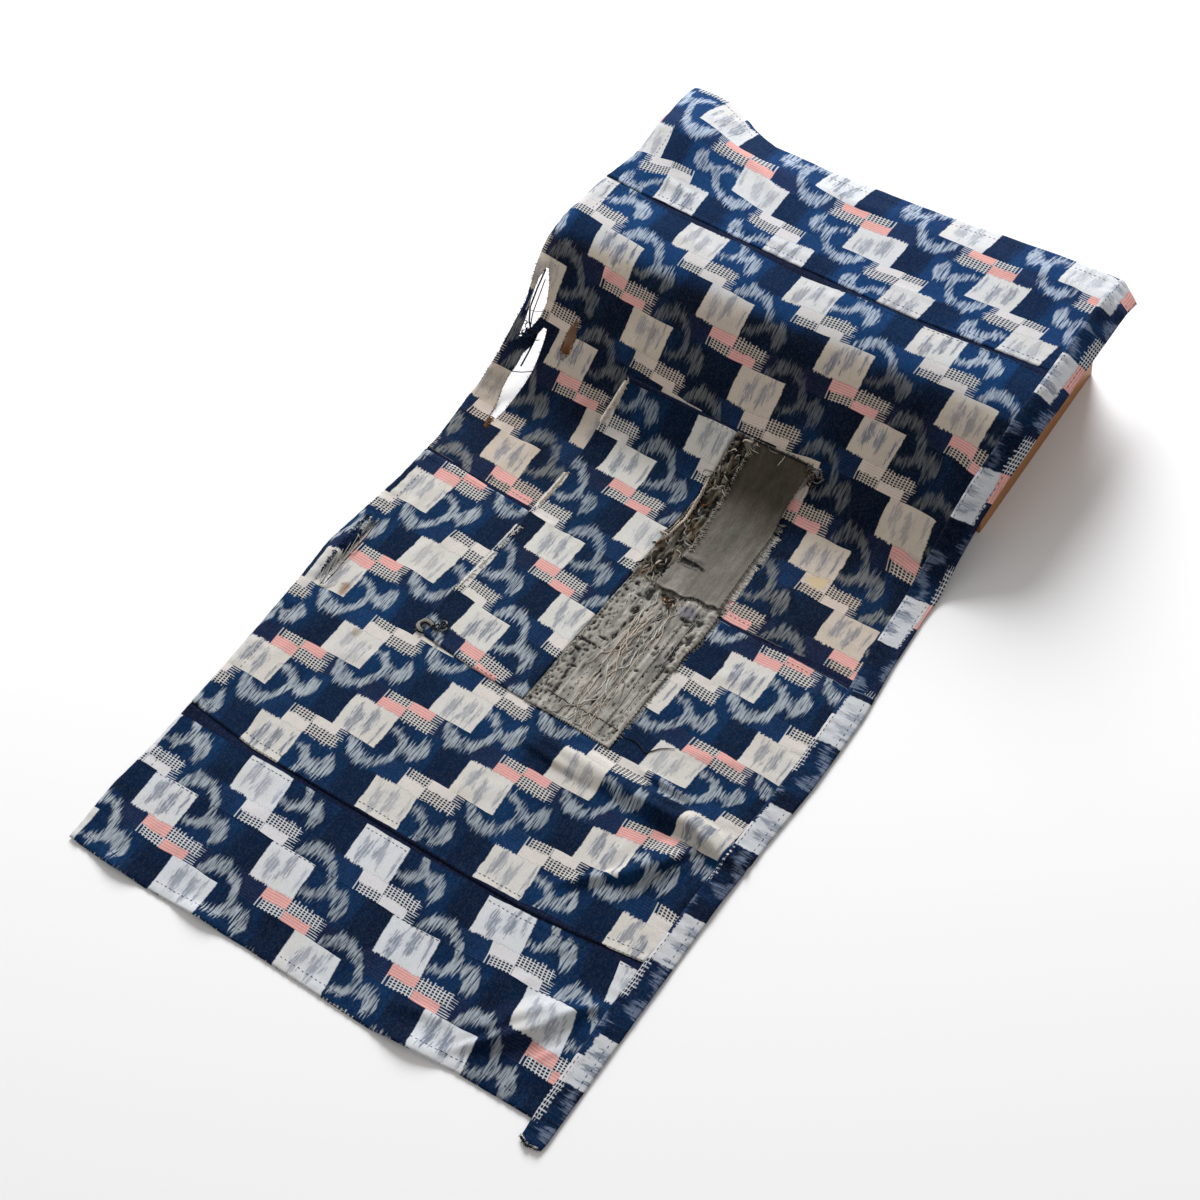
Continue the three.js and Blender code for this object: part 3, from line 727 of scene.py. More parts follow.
    # zones of the ground that took the dye differently
    beside = (right + ends * 0.8).above(106.0, 7.0) * (down + ends).above(BLOCK_FOOT, 3.0)
    low = (down + ends * 0.5).below(BLOCK_FOOT, 2.0)
    shelf = right.above(129.0, 2.0).most(right.below(23.0, 1.2)) * low
    tail = right.between(84.0, 101.0, 4.0) * low
    plum = (shelf * 0.60 + tail * 0.50) * (1.0 - odd)
    mid = shelf * odd
    bands = (down + slide * 0.4).wrap(2.55).between(0.0, 1.1, 0.8)
    rubbed = cloud(stretched(across * 0.9, along * 0.1), 0.42, 4.0, 0.65)
    pool = cloud(given["Weave"], 0.016, 2.0)
    # the ground pales with rubbing, and with painted light and shade from the chart's third value
    fading_and_light = ((rubbed - 0.5) * 1.3 + (pool - 0.5) * 1.5 + wear_and_light * 1.05 - 0.07).clip()
    tint = mix(cloud(given["Weave"], 0.05, 2.0), scaled(given["Ash"], 0.74), scaled(given["Ash"], 1.42))
    ground = layered(
        given["Ground"],
        (fading_and_light * 0.55, tone(14, 68, 118)), (beside * 0.60, tone(4, 13, 32)), (mid * 0.15, tone(18, 60, 112)),
        (plum * 0.8, tone(24, 24, 50)), ((plum * 0.6 + mid * 0.4) * bands * 0.35, tone(58, 76, 112)),
        (figure * 0.95, tint), (dark, tone(8, 18, 42)), (lattice.clip(), given["White"]),
    )

    # the blocks and links over it, then the plain part past the repeat, then flecks over all
    linked = layered(given["Pink"], (odd, given["White"]), (wefts * 0.55, tone(222, 200, 196)))
    age = (cloud(given["Weave"], 0.012, 2.0) - 0.46) * 3.0
    aged = mix(age.clip() * 0.40, given["White"], tone(200, 186, 164))
    shade = chance(which + 5.5) * 0.6 + 0.4
    flecks = chance(yarn * 3.7 + (along / 1.4).floor() * 131.7)
    cloth = layered(
        ground,
        (solid, linked), (block, aged), (haze * block * 0.26 * shade, tone(132, 146, 170)),
        (comb * block * 0.80 * shade, tone(60, 74, 100)),
        (plain, mix(fading_and_light * 0.5, tone(7, 16, 40), tone(20, 38, 74))),
        ((flecks - 0.5).clip() * 0.16, tone(12, 20, 40)), ((0.5 - flecks).clip() * 0.03, tone(228, 228, 228)),
    )
    link(cloth, result["Color"])
    return tree


kasuri = build_kasuri()
print(kasuri.name, "group:", len(kasuri.nodes), "nodes")

# %% [markdown]
# ## The weave group
# Close up, hand-spun cotton is plain weave with slubs. Two crossed ripples make the over-and-under, and
# noise stretched along the yarns makes the slubs. Its output feeds only a Bump node.

# %% Build the weave group
def build_weave():
    """The height of plain weave, as a node group."""
    tree, given, result = new_group("Cotton weave", {"Weave": "Vector", "Slub": "Float"}, {"Height": "Float"})
    across, along, _ = split(given["Weave"])
    over = (across * (math.pi / YARN)).math("SINE").size()
    under = (along * (math.pi / PICK)).math("SINE").size()
    slub = cloud(stretched(across, along * 0.15), 0.9, 3.0, 0.6)
    crumple = cloud(given["Weave"], 0.12, 3.0, 0.55)
    slubbed = slub * Wire(given["Slub"])
    link(over * 0.30 + under * 0.22 + slubbed + crumple * 1.4, result["Height"])
    return tree


weave = build_weave()
COTTON = {
    "Roughness": 0.9, "Specular IOR Level": 0.05, "Sheen Weight": 0.03, "Sheen Roughness": 0.45,
    "Sheen Tint": (0.75, 0.84, 1.0, 1.0),
}
# the upper width turns paler where it comes over the rounded front, from this v and over this distance:
# painted light, where the light falls on the front
LIT_FRONT_START, LIT_FRONT_WIDTH = 285.0, 14.0
ENDLESS = 600.0


def fabric(name, tones=None, last=-ENDLESS, first=ENDLESS, lit_and_worn_tones=None, slub=0.6, bump_by=0.55):
    """A cotton material. With tones it carries the kasuri repeat, and without them only its marks.

    last and first are where the repeat ends, in the chart's b. The second set of tones takes over past
    the rounded front. Mostly they are painted light, for how the light falls there, and partly the paleness
    of rubbing.
    """
    material, tree, shader = new_material(name, COTTON)
    place, marks = stored(tree, "weave")["Vector"], stored(tree, "marks")
    if tones is None:
        across, along, _ = split(place)
        rubbed = cloud(stretched(across, along * 0.2), 0.5, 4.0, 0.65)
        worn = cloud(place, 0.35, 4.0, 0.7)
        colour = scaled(marks["Color"], rubbed * 0.9 + worn * 0.7 + 0.2)
    else:
        body = tree.nodes.new("ShaderNodeGroup")
        body.node_tree = kasuri
        fed = {"Chart": stored(tree, "chart")["Vector"], "Weave": place, "Last row": last, "First row": first}
        fed.update(zip(TONES, tones))
        # past the rounded front the tones turn to the second, lighter set: painted light
        if lit_and_worn_tones is not None:
            over = split(place)[1].above(LIT_FRONT_START, LIT_FRONT_WIDTH)
            fed.update((label, mix(over, tones[i], lit_and_worn_tones[i])) for i, label in enumerate(TONES))
        for label, value in fed.items():
            link(value, body.inputs[label])
        colour = mix(Wire(marks["Alpha"]), body.outputs["Color"], marks["Color"])
    link(colour, shader.inputs["Base Color"])
    cotton = tree.nodes.new("ShaderNodeGroup")
    cotton.node_tree = weave
    link(slub, cotton.inputs["Slub"])
    link(place, cotton.inputs["Weave"])
    emboss(shader, cotton.outputs["Height"], bump_by, 0.00035)
    return material


OFF_WHITE, PINK, ASH = tone(203, 206, 210), tone(208, 144, 138), tone(162, 170, 176)
# in the chart's b: where the repeat starts, before row -1 or before row 1, and where it stops, after row 4
EARLY_START, LATE_START, STOP = 58.2, -59.8, -294.8
hem_tones = (tone(2, 24, 52), OFF_WHITE, PINK, ASH)
middle_tones = (tone(3, 29, 58), tone(202, 199, 194), PINK, ASH)
# the slope's tones are darker and warmer, as painted shade; the front's are lighter, as painted light
shaded_slope_tones = (tone(4, 17, 36), tone(190, 178, 165), PINK, tone(120, 121, 119))
lit_front_tones = (tone(8, 42, 84), tone(203, 204, 205), PINK, tone(160, 172, 186))
# the top's tones are lighter than the hem's, as painted light on the top, which faces the light
lit_top_tones = (tone(6, 38, 80), tone(200, 202, 205), PINK, tone(158, 170, 186))
patch_tones = (tone(4, 28, 54), tone(202, 200, 195), PINK, ASH)
band_tones = (tone(3, 15, 38), tone(190, 193, 198), PINK, tone(104, 116, 138))
fabrics = {
    "panel_hem": fabric("kasuri hem width", hem_tones, first=EARLY_START),
    "panel_middle": fabric("kasuri middle width", middle_tones, STOP, EARLY_START),
    "panel_upper": fabric("kasuri upper width", shaded_slope_tones, STOP, EARLY_START, lit_front_tones),
    "panel_top": fabric("kasuri top width", lit_top_tones, first=LATE_START),
    "patch_kasuri": fabric("kasuri patch", patch_tones, first=LATE_START),
    "edge_strip": fabric("kasuri band", band_tones),
    "patch_plain": fabric("worn plain cloth", slub=1.3, bump_by=0.8),
}
print(len(fabrics), "fabrics")

# %% [markdown]
# ## A sheet between four edges
# Each piece of cloth starts as a flat bmesh grid, whose points are read as shares of the way between
# its edges. A tear is a hole in the grid: faces inside it are deleted, and the points round it are moved
# onto its outline so that the hole has a clean shape. Every point then gets its cloth coordinates, its
# place in the repeat and any stain as attributes, and only after that is it carried to the drape. A
# Solidify modifier gives the thickness, downwards, so that the top stays where it was put.

# %% The sheet builder
LEAST_HEIGHT = 0.95
TUCKED_HEIGHT = 0.9
# a width is tucked flat from here on, measured from its seam line
TUCKED_FROM = -0.6
# how far round a tear the grid is made finer
NEARBY = 5


def ground(u, v):
    """The height of the top of the lowest layer over the surface that carries it."""
    height = 1.25 + 0.62 * unevenness(u, v) + bumps(CREASES, u, v)
    tuck = v - line(TUCK_SEAM)(u)
    height += np.where(tuck > TUCKED_FROM, 0.8 * bell(tuck, 5), -0.1 * bell(tuck, 7))
    height += pucker(u, v, tuck - 4, 9.0, 15.0, 0.42)
    middle = v - line(MIDDLE_SEAM)(u)
    height += np.where(middle < -TUCKED_FROM, 0.5 * bell(middle, 5), -0.1)
    height += pucker(u, v, middle, 12.0, 14.0, 0.35)
    top = v - line(TOP_SEAM)(u)
    height += np.where(top > TUCKED_FROM, 0.5 * bell(top, 5), -0.1 * bell(top, 7))
    height += pucker(u, v, top, 13.0, 20.0, 0.40)
    hem = v - line(NEAR_HEM)(u)
    height += 0.9 * bell(hem - 5, 6) + pucker(u, v, hem - 8, 10.0, 14.0, 0.45)
    left = u - line(LEFT_EDGE)(v)
    height += 0.9 * bell(left - 6, 7) + pucker(v, u, left - 8, 13.0, 12.0, 0.40)
    seam = line(BAND_SEAM)(v) - u
    height += pucker(v, u, seam, 12.0, 13.0, 0.45)
    return np.maximum(height, LEAST_HEIGHT)


def under(seam, side):
    """The lowest layer, with the part past a seam tucked flat below the next width."""
    return lambda u, v: np.where(side * (v - line(seam)(u)) > TUCKED_FROM, TUCKED_HEIGHT, ground(u, v))


def wear_and_light(u, v):
    """How pale the cloth is, 0 to 1: rubbed at random and to the left, painted shade on the slope and painted
    light over the rounded front and top.
    """
    slope = ease(60, 170, v) * (1 - ease(270, 300, v))
    top = ease(272, 300, v) * (0.34 - 0.22 * ease(420, 480, v) * ease(-80, 20, u))
    amount = 0.34 + 0.12 * broad(u / 85, v / 85) - 0.24 * slope + top
    return np.clip(amount + 0.10 * (1 - ease(-210, -60, u)), 0, 1)


def solve_grid(sides, s, t):
    """Cloth coordinates for points given as shares of the way between four edges."""
    left, right, near, far = sides
    v = near(np.zeros_like(s)) * (1 - t) + far(np.zeros_like(s)) * t
    for _ in range(6):
        u = left(v) * (1 - s) + right(v) * s
        v = near(u) * (1 - t) + far(u) * t
    return u, v


def open_tear(bm, tear):
    """Cuts one hole. bm still lies flat, in cloth coordinates."""
    v_low, v_high = tear[0][0], tear[-1][0]
    left, right = line([(v, a) for v, a, b in tear]), line([(v, b) for v, a, b in tear])
    low, high = min(a for v, a, b in tear) - NEARBY, max(b for v, a, b in tear) + NEARBY

    def nearby(p):
        return low < p.co.x < high and v_low - NEARBY < p.co.y < v_high + NEARBY

    close = [e for e in bm.edges if all(nearby(p) for p in e.verts)]
    bmesh.ops.subdivide_edges(bm, edges=close, cuts=1, use_grid_fill=True)
    gone = []
    for face in bm.faces:
        x, y, _ = face.calc_center_median()
        if v_low < y < v_high and left(y) < x < right(y):
            gone.append(face)
    rim = {p for f in gone for p in f.verts}
    bmesh.ops.delete(bm, geom=gone, context="FACES")
    for p in rim:
        if p.is_valid and p.link_faces:
            y = min(max(p.co.y, v_low), v_high)
            a, b = float(left(y)), float(right(y))
            p.co.x = a if abs(p.co.x - a) < abs(p.co.x - b) else b
            p.co.y = y


def piece_from(mesh):
    """A smooth piece of the model with its mesh's name, which rides on the one body."""
    mesh.shade_smooth()
    piece = bpy.data.objects.new(mesh.name, mesh)
    bpy.context.scene.collection.objects.link(piece)
    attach(piece, "root")
    return piece


def cloth(name, sides, cell, height, chart, marks=None, tears=(), thick=0.85, turned=False):
    """Builds one sheet. height, chart and marks are functions of u and v."""
    left, right, near, far = sides
    middle = np.array([0.0])
    width = float(np.max(right(middle) - left(middle)))
    length = float(np.max(far(middle) - near(middle)))
    bm = bmesh.new()
    columns, rows = max(2, round(width / cell)), max(2, round(length / cell))
    bmesh.ops.create_grid(bm, x_segments=columns, y_segments=rows, size=0.5)
    shares = np.array([p.co[:] for p in bm.verts]) + 0.5
    u, v = solve_grid(sides, shares[:, 0], shares[:, 1])
    for p, x, y in zip(bm.verts, u, v):
        p.co = (x, y, 0)
    for tear in tears:
        open_tear(bm, tear)
    flat_area = sum(f.calc_area() for f in bm.faces)
    u, v = np.array([p.co[:2] for p in bm.verts]).T
    place = drape(u, v, height(u, v))
    for p, co in zip(bm.verts, place):
        p.co = co
    mesh = bpy.data.meshes.new(name)
    bm.to_mesh(mesh)
    bm.free()
    weave_at = np.stack([v, u, 0 * u] if turned else [u, v, 0 * u], -1)
    # the chart's third value: how pale the cloth is, partly rubbing, partly painted light and shade
    chart_at = np.concatenate([chart(u, v), wear_and_light(u, v)[:, None]], 1)
    stain = np.zeros((len(u), 4)) if marks is None else marks(u, v)
    for label, kind, field, values in (
        ("weave", "FLOAT_VECTOR", "vector", weave_at), ("chart", "FLOAT_VECTOR", "vector", chart_at),
        ("marks", "FLOAT_COLOR", "color", stain),
    ):
        mesh.attributes.new(label, kind, "POINT").data.foreach_set(field, values.astype(np.float32).ravel())
    piece = piece_from(mesh)
    solid = piece.modifiers.new("thickness", "SOLIDIFY")
    solid.thickness, solid.offset = thick * MM, -1.0
    flat_area *= MM * MM
    print(f"{name}: {width:.0f} x {length:.0f} mm, {len(mesh.polygons)} faces, {flat_area:.4f} m2")
    return piece, (width * MM, length * MM), flat_area


# %% [markdown]
# ## Stains and worn places
# Old stains are soft blots. Each row of the table is a middle, two radii, a colour and a strength, and
# they are painted into the sheet's own colour attribute with the rest of its data.

# %% Blots
def blots(table):
    """A function that paints a table of blots at points u and v."""

    def paint(u, v):
        result = np.zeros((len(u), 4))
        for mu, mv, ru, rv, colour, strength in table:
            wobble = 0.25 * fine(u / 3 + mu, v / 3) + 0.2 * medium(u / 7, v / 7 + mv)
            away = np.sqrt(((u - mu) / ru) ** 2 + ((v - mv) / rv) ** 2) + wobble
            amount = (strength * (1 - ease(0.55, 1.0, away)))[:, None]
            tinted = result[:, :3] * (1 - amount) + np.array(colour[:3]) * amount
            result[:, :3] = np.where(amount > 0.001, tinted, result[:, :3])
            result[:, 3:] = np.maximum(result[:, 3:], amount)
        covered = np.maximum(result[:, 3:], 1e-4)
        result[:, :3] = np.minimum(result[:, :3] / covered, 1.0)
        return result

    return paint


RUST, TEA = tone(120, 84, 52), tone(196, 176, 142)
print("blots ready")

# %% [markdown]
# ## The four loom widths
# The widths meet in felled seams. At the tuck seam the middle width is folded under and laid over the
# hem width, so its edge stands a little proud. The upper width is the most worn and has three tears over
# the slope, and the middle width has a long slit beside its left edge.

# %% The loom widths
LONG_TEAR = [
    (74, -221, -218), (85, -222, -215), (98, -224, -213), (110, -226, -212), (122, -228, -210),
    (135, -227, -207), (148, -224, -205), (160, -223, -205), (174, -216, -206), (184, -216, -207),
    (192, -213, -209),
]
HIGH_TEAR = [
    (175, -235, -232), (188, -235, -225), (200, -236, -221), (216, -239, -221), (234, -240, -227),
    (247, -237, -234),
]
SMALL_HOLE = [(170, -181.5, -179), (179, -186, -175), (196, -187, -176), (212, -184, -182)]
LONG_SLIT = [
    (-161, -241, -239), (-146, -243.5, -238.5), (-122, -243, -237.6), (-94, -241.2, -237.2),
    (-71, -240.3, -239.5),
]

left_edge, band_side = line(LEFT_EDGE), line(BAND_SEAM, 1.0)
WIDTHS = {
    "panel_hem": dict(near=line(NEAR_HEM), far=line(TUCK_SEAM, 3.0), height=under(TUCK_SEAM, 1), tears=()),
    "panel_middle": dict(near=line(TUCK_SEAM), far=line(MIDDLE_SEAM), height=ground, tears=(LONG_SLIT,)),
    "panel_upper": dict(
        near=line(MIDDLE_SEAM, -2.0), far=line(TOP_SEAM, 2.5), tears=(LONG_TEAR, HIGH_TEAR, SMALL_HOLE),
        height=lambda u, v: np.minimum(under(TOP_SEAM, 1)(u, v), under(MIDDLE_SEAM, -1)(u, v)),
    ),
    "panel_top": dict(near=line(TOP_SEAM), far=line(FAR_HEM), height=ground, tears=()),
}
STAINS = {
    "panel_middle": blots([(-218, -153, 6, 9, RUST, 0.7), (-177, -188, 5, 5, RUST, 0.5)]),
    "panel_upper": blots([(161, 71, 11, 9, TEA, 0.9)]),
}
sheets = {}


def dress(name, made):
    """Gives a sheet its fabric, hides the solid that it stands for and keeps it in the table of sheets."""
    piece, flat, area = made
    piece.data.materials.append(fabrics[name])
    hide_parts(name)
    sheets[name] = (piece, flat, area)


for name, width in WIDTHS.items():
    sides = (left_edge, band_side, width["near"], width["far"])
    repeat = lambda u, v, n=name: chart_of(n, u, v)
    made = cloth(name + "_cloth", sides, 2.5, width["height"], repeat, STAINS.get(name), width["tears"])
    dress(name, made)

# %% [markdown]
# ## The two patches
# A second piece of the same kasuri, sewn over the middle, and a worn plain grey cloth beside it. They
# lie on the widths, so their height is the widths' own height plus a layer, and their edges are turned
# under and stand a little higher.

# %% The patches
def patch_height(sides, lift=0.95, edge=0.5):
    """The height function of a patch between four edges, with its rim turned under."""
    left, right, near, far = sides

    def height(u, v):
        rim = np.minimum(np.minimum(u - left(v), right(v) - u), np.minimum(v - near(u), far(u) - v))
        turned = edge * bell(rim - 3, 3.5) - 0.45 * bell(rim, 0.9)
        return ground(u, v) + lift + turned + 0.18 * medium(u / 9, v / 24)

    return height


kasuri_sides = (line(PATCH_LEFT), line(PATCH_SPLIT), line(PATCH_NEAR), line(PATCH_FAR))
patch_top = patch_height(kasuri_sides)
made = cloth("patch_kasuri_cloth", kasuri_sides, 1.7, patch_top, lambda u, v: chart_of("patch_kasuri", u, v))
dress("patch_kasuri", made)

# %% [markdown]
# ## The plain patch
# The grey cloth has been darned so often that its lower half is a mat of lengthwise ridges and gaps, with
# a smoother piece sewn over its upper half. Ridges are rows of a table: where each runs at its top and at
# its bottom, its height and its half width. The ridges are painted pale and the hollows, stitch holes and
# gaps dark: painted light and shade, with some rubbing on the ridges. Gaps are rows too: the middle and two
# radii of a thin place. Some were set down one by one, and the smallest are scattered by a seeded draw.

# %% The worn plain cloth
RIDGES = [
    (11.5, 2.5, 0.9, 1.3), (15, 7, 0.6, 1.3), (20.5, 18, 0.8, 1.6), (27, 26, 0.5, 1.6),
    (33.5, 33, 0.7, 1.4), (41.5, 42, 1.3, 1.5), (45.5, 46, 0.9, 1.4), (51, 49, 0.8, 2.0),
    (57, 56, 0.6, 1.5), (62, 61.5, 1.1, 1.3), (66, 67, 1.4, 1.4), (72, 73, 0.5, 1.6), (78.5, 79, 0.8, 1.3),
    (85, 84, 0.6, 1.4), (90.5, 88.5, 0.9, 1.5), (97, 93, 0.6, 1.6),
]
GAPS = [
    (50, -14, 6, 3.5), (58, -36, 3, 6), (89.5, -30, 2.2, 15), (90, -60, 2.4, 14), (92, -92, 1.6, 12),
    (57, -52, 1.8, 4.5), (34, -40, 4, 6), (36, -18, 5, 9), (28, -24, 3.5, 2.5), (19, -14, 3, 3),
    (14, -24, 2, 2), (16, -56, 2, 2), (12, -62, 2, 2), (34, -60, 1.6, 5), (33, -74, 2, 3),
    (26, -81, 5, 1.6), (20, -91, 9, 1.6), (10, -90, 4, 1.4), (12, -102, 4, 2), (20, -100, 2.4, 2),
    (20, -120, 4, 1.6), (18, -132, 1.4, 9), (20, -148, 1.6, 8), (44, -84, 1.6, 4), (43, -114, 1.5, 5),
    (51, -88, 3, 1.8), (56, -73, 3, 1.2), (60, -68, 2, 1.4), (68, -55, 1.4, 2), (74, -66, 1.6, 3),
    (72, -96, 2, 1.8), (80, -98, 1.2, 2), (57, -142, 1.6, 7), (64, -136, 1.3, 4), (88, -108, 1.6, 1.8),
    (94, -110, 1.2, 2), (94, -72, 3, 4), (96, -84, 3, 3), (88, -165, 1.2, 1.2), (86, -169, 1.2, 1.2),
    (87, -174, 1.2, 1.2), (8, -162, 2, 1.2), (6, -152, 1.2, 1), (84, -31, 4, 2), (80, -27, 6, 2.5),
    (96, -44, 4, 10), (94, -24, 3.5, 5), (30, 12, 5, 6), (32, 100, 4, 9), (30, 86, 5, 5), (35, 118, 2.5, 7),
    (36, 146, 2.5, 14), (28, 158, 5, 6), (24, 168, 4, 3), (27, 20, 7, 2.5), (26, 44, 3, 2), (36, 52, 2, 8),
]

pick = random.Random(4)
for count, ranges in (
    (80, ((4, 96), (-172, -12), (0.5, 1.1), (1.5, 5.0))), (36, ((15, 37), (2, 172), (1.0, 2.6), (2.0, 6.0))),
):
    for _ in range(count):
        GAPS.append([pick.uniform(*ends) for ends in ranges])
# rows of deep stitches: where each runs, the length of a stitch and its depth
QUILTING = [(5, 8.4, 1.0), (9.6, 9.7, 1.0), (14.2, 8.9, 0.9), (19.5, 13.1, 0.6), (27, 15.7, 0.5)]


def matting(u, v):
    """The darned mat: its height in millimetres, how pale it is from 0 to 1, and the open strip's share. The
    paleness is painted light on raised parts and painted shade in low ones.
    """
    lower, strip = 1 - ease(-10, -2, v), ease(-10, 0, v) * (1 - ease(33, 39, u))
    down = np.clip(-v / 175, 0, 1)
    lump = 0.50 * medium(u / 2.8 + 3, v / 15) + 0.22 * fine(u / 2.3, v / 4.8) + 0.30 * broad(u / 9, v / 19)
    rise, crest = 0.95 * lump, np.zeros_like(u)
    for i, (top, bottom, height, width) in enumerate(RIDGES):
        at = top + (bottom - top) * down + 1.1 * medium(v / 17 + 9 * i, v / 40)
        at = at + 0.5 * fine(v / 6 + 5 * i, v / 9)
        hump = bell(u - at, width) * (0.55 + 0.45 * medium(v / 11 + 5 * i, v / 23))
        rise += 1.35 * height * hump * lower
        crest = np.maximum(crest, hump * lower)
    pits = np.zeros_like(u)
    for i, (at, pitch, depth) in enumerate(QUILTING):
        wave = np.cos(v * 2 * math.pi / pitch + 2.0 * i + 1.5 * medium(v / 19, v / 13))
        stitch = np.clip(wave * 2.6 - 0.9 + 1.2 * fine(v / 9 + 4 * i, v / 14), 0, 1) * depth
        near = bell(u - at - 0.9 * medium(v / 15 + i, v / 31), 0.95)
        pits = np.maximum(pits, near * (0.12 + 0.88 * stitch) * lower)
        rise += 0.7 * bell(u - at - 2.1, 1.3) * (1 - stitch) * lower
    curl = bell(u - plain_right(v) + 4.5, 3.4) * ease(-86, -74, v) * (1 - ease(-12, -6, v))
    rise += curl * (2.6 + 1.3 * fine(u / 3, v / 4)) + strip * (1.2 + 2.3 * lump)
    # pale on lumps, crests and the curled edge, dark in stitch holes and the open strip: painted light and
    # shade, with some rubbing
    light = np.clip(0.60 + 0.50 * lump + 0.30 * crest + 0.20 * curl - 0.95 * pits - 0.35 * strip, 0, 1)
    return (rise - 1.3 * pits) * np.maximum(lower, strip), light, strip


def gaps_at(u, v):
    """How far each point lies in a thin place, from 0 to 1."""
    amount = np.zeros_like(u)
    for middle_u, middle_v, ru, rv in GAPS:
        close = (np.abs(u - middle_u) < 2.2 * ru) & (np.abs(v - middle_v) < 2.2 * rv)
        a, b = u[close], v[close]
        away = np.sqrt(((a - middle_u) / ru) ** 2 + ((b - middle_v) / rv) ** 2)
        away = away + 0.35 * fine(a / 2.2, b / 2.6)
        amount[close] = np.maximum(amount[close], 1 - ease(0.6, 1.15, away))
    return amount


def rgb(red, green, blue):
    """A tone's three numbers, for arithmetic."""
    return np.array(tone(red, green, blue))[:3]


def blend(share, under_colour, over_colour):
    """One colour over another, with a share for each point."""
    share = np.asarray(share)[:, None]
    return under_colour * (1 - share) + over_colour * share


def plain_marks(u, v):
    """The worn patch's colour at each point."""
    _, light, strip = matting(u, v)
    gap = gaps_at(u, v)
    patchy = 0.5 + 0.5 * medium(u / 9, v / 21)
    colour = blend(light, rgb(46, 47, 48), blend(patchy, rgb(164, 160, 153), rgb(192, 187, 178)))
    straw = blend(0.5 + 0.5 * fine(u / 5, v / 9), rgb(118, 104, 76), rgb(196, 188, 172))
    colour = blend(strip, colour, blend(light, rgb(34, 33, 30), straw))
    violet = (1 - ease(0.5, 1.0, np.hypot((u - 78) / 12, (v + 19) / 10))) * 0.8
    colour = blend(violet, colour, blend(light, rgb(34, 36, 46), rgb(132, 130, 142)))
    # thin places are painted near black: painted shade in the sunken gaps
    colour = blend(gap * 0.94, colour, rgb(20, 21, 23))
    return np.concatenate([np.minimum(colour * 0.94, 1), np.ones((len(u), 1))], 1)


def plain_right(v):
    """The patch's right edge, with the small waves that frayed yarns leave."""
    return line(PLAIN_RIGHT)(v) + 0.9 * np.sin(v * 2 * math.pi / 4.1) * (0.5 + 0.5 * medium(v / 19, v / 7))


def plain_height(u, v):
    """The top of the worn patch."""
    rise, _, _ = matting(u, v)
    worn = patch_height(plain_sides, 1.5, 0.35)(u, v) + rise - 1.3 * gaps_at(u, v)
    return np.maximum(worn, ground(u, v) + 0.12)


def uncharted(u, v):
    """A plain cloth has no repeat, so its cloth coordinates fill the chart's place."""
    return np.stack([u, v], -1)


plain_sides = (line(PATCH_SPLIT, 0.5), plain_right, line(PATCH_NEAR), line(PATCH_FAR))
made = cloth("patch_plain_cloth", plain_sides, 1.1, plain_height, uncharted, plain_marks, thick=0.7)
dress("patch_plain", made)

# %% [markdown]
# The smoother piece over the upper half is its own sheet, darker at the top, torn across near its foot
# and ragged along both sides.

# %% The smooth piece over it
SMOOTH_LEFT = [
    (-9, 35), (0, 34), (18, 36), (36, 41), (60, 39), (80, 37), (92, 34), (102, 36), (118, 34), (140, 36),
    (156, 39), (175, 40),
]
SMOOTH_RIGHT = [(-9, 101), (10, 100), (60, 99), (100, 98.5), (118, 96), (142, 99), (160, 102), (175, 104)]
SMOOTH_NEAR = [(33, -7), (44, -8), (56, -6.5), (64, -8), (72, -3), (80, -2), (88, -4), (95, -1), (104, -4)]
SMOOTH_FAR = [(38, 174.5), (104, 173)]


def ragged_side(table, period, depth):
    """An outline with small uneven waves on it."""

    def side(v):
        wave = depth * np.sin(v * 2 * math.pi / period + 2 * medium(v / 13, v / 29))
        return line(table)(v) + wave * (0.6 + 0.4 * fine(v / 5, v / 9))

    return side


def smooth_height(u, v):
    """The top of the smooth piece."""
    lip = 1.1 * bell(v - line(SMOOTH_NEAR)(u), 3.0) * (0.6 + 0.4 * medium(u / 6, v / 9))
    torn = 0.9 * bell(v - 36, 2.2) * (1 - ease(60, 66, u))
    sides = np.minimum(u - line(SMOOTH_LEFT)(v), line(SMOOTH_RIGHT)(v) - u)
    edge = 0.5 * bell(sides, 2.5) * (0.5 + 0.5 * fine(u / 3, v / 4))
    creased = 0.9 * np.abs(medium(u / 9 + v / 40, v / 34)) + 0.6 * np.abs(fine(u / 12 - v / 60, v / 17))
    return ground(u, v) + 3.2 + creased + 0.7 * broad(u / 19, v / 26) + lip + torn + edge


def smooth_marks(u, v):
    """The smooth piece's colour at each point."""
    down = (1 - ease(-10, 150, v))[:, None]
    streak = (0.5 + 0.5 * medium(u / 3.2, v / 60))[:, None]
    colour = rgb(72, 66, 58) * (1 - down) + rgb(126, 121, 114) * down
    stained = (0.5 + 0.5 * broad(u / 17 + v / 60, v / 26))[:, None]
    colour = colour * (0.80 + 0.30 * stained * stained)
    colour = colour * (0.78 + 0.30 * streak + 0.16 * (0.5 + 0.5 * fine(u / 4, v / 11))[:, None])
    green = (1 - ease(0.3, 1.0, np.hypot((u - 66) / 14, (v - 72) / 30))) * 0.3
    colour = blend(green, colour, rgb(84, 88, 84))
    # a dark band just below the torn ridge: painted shade where the tear opens
    away = np.hypot((u - 48) / 17, (v - 28.5) / 4.2) + 0.45 * fine(u / 3, v / 2.5)
    colour = blend((1 - ease(0.5, 1.1, away)) * 0.92, colour, rgb(24, 25, 25))
    return np.concatenate([colour, np.ones((len(u), 1))], 1)


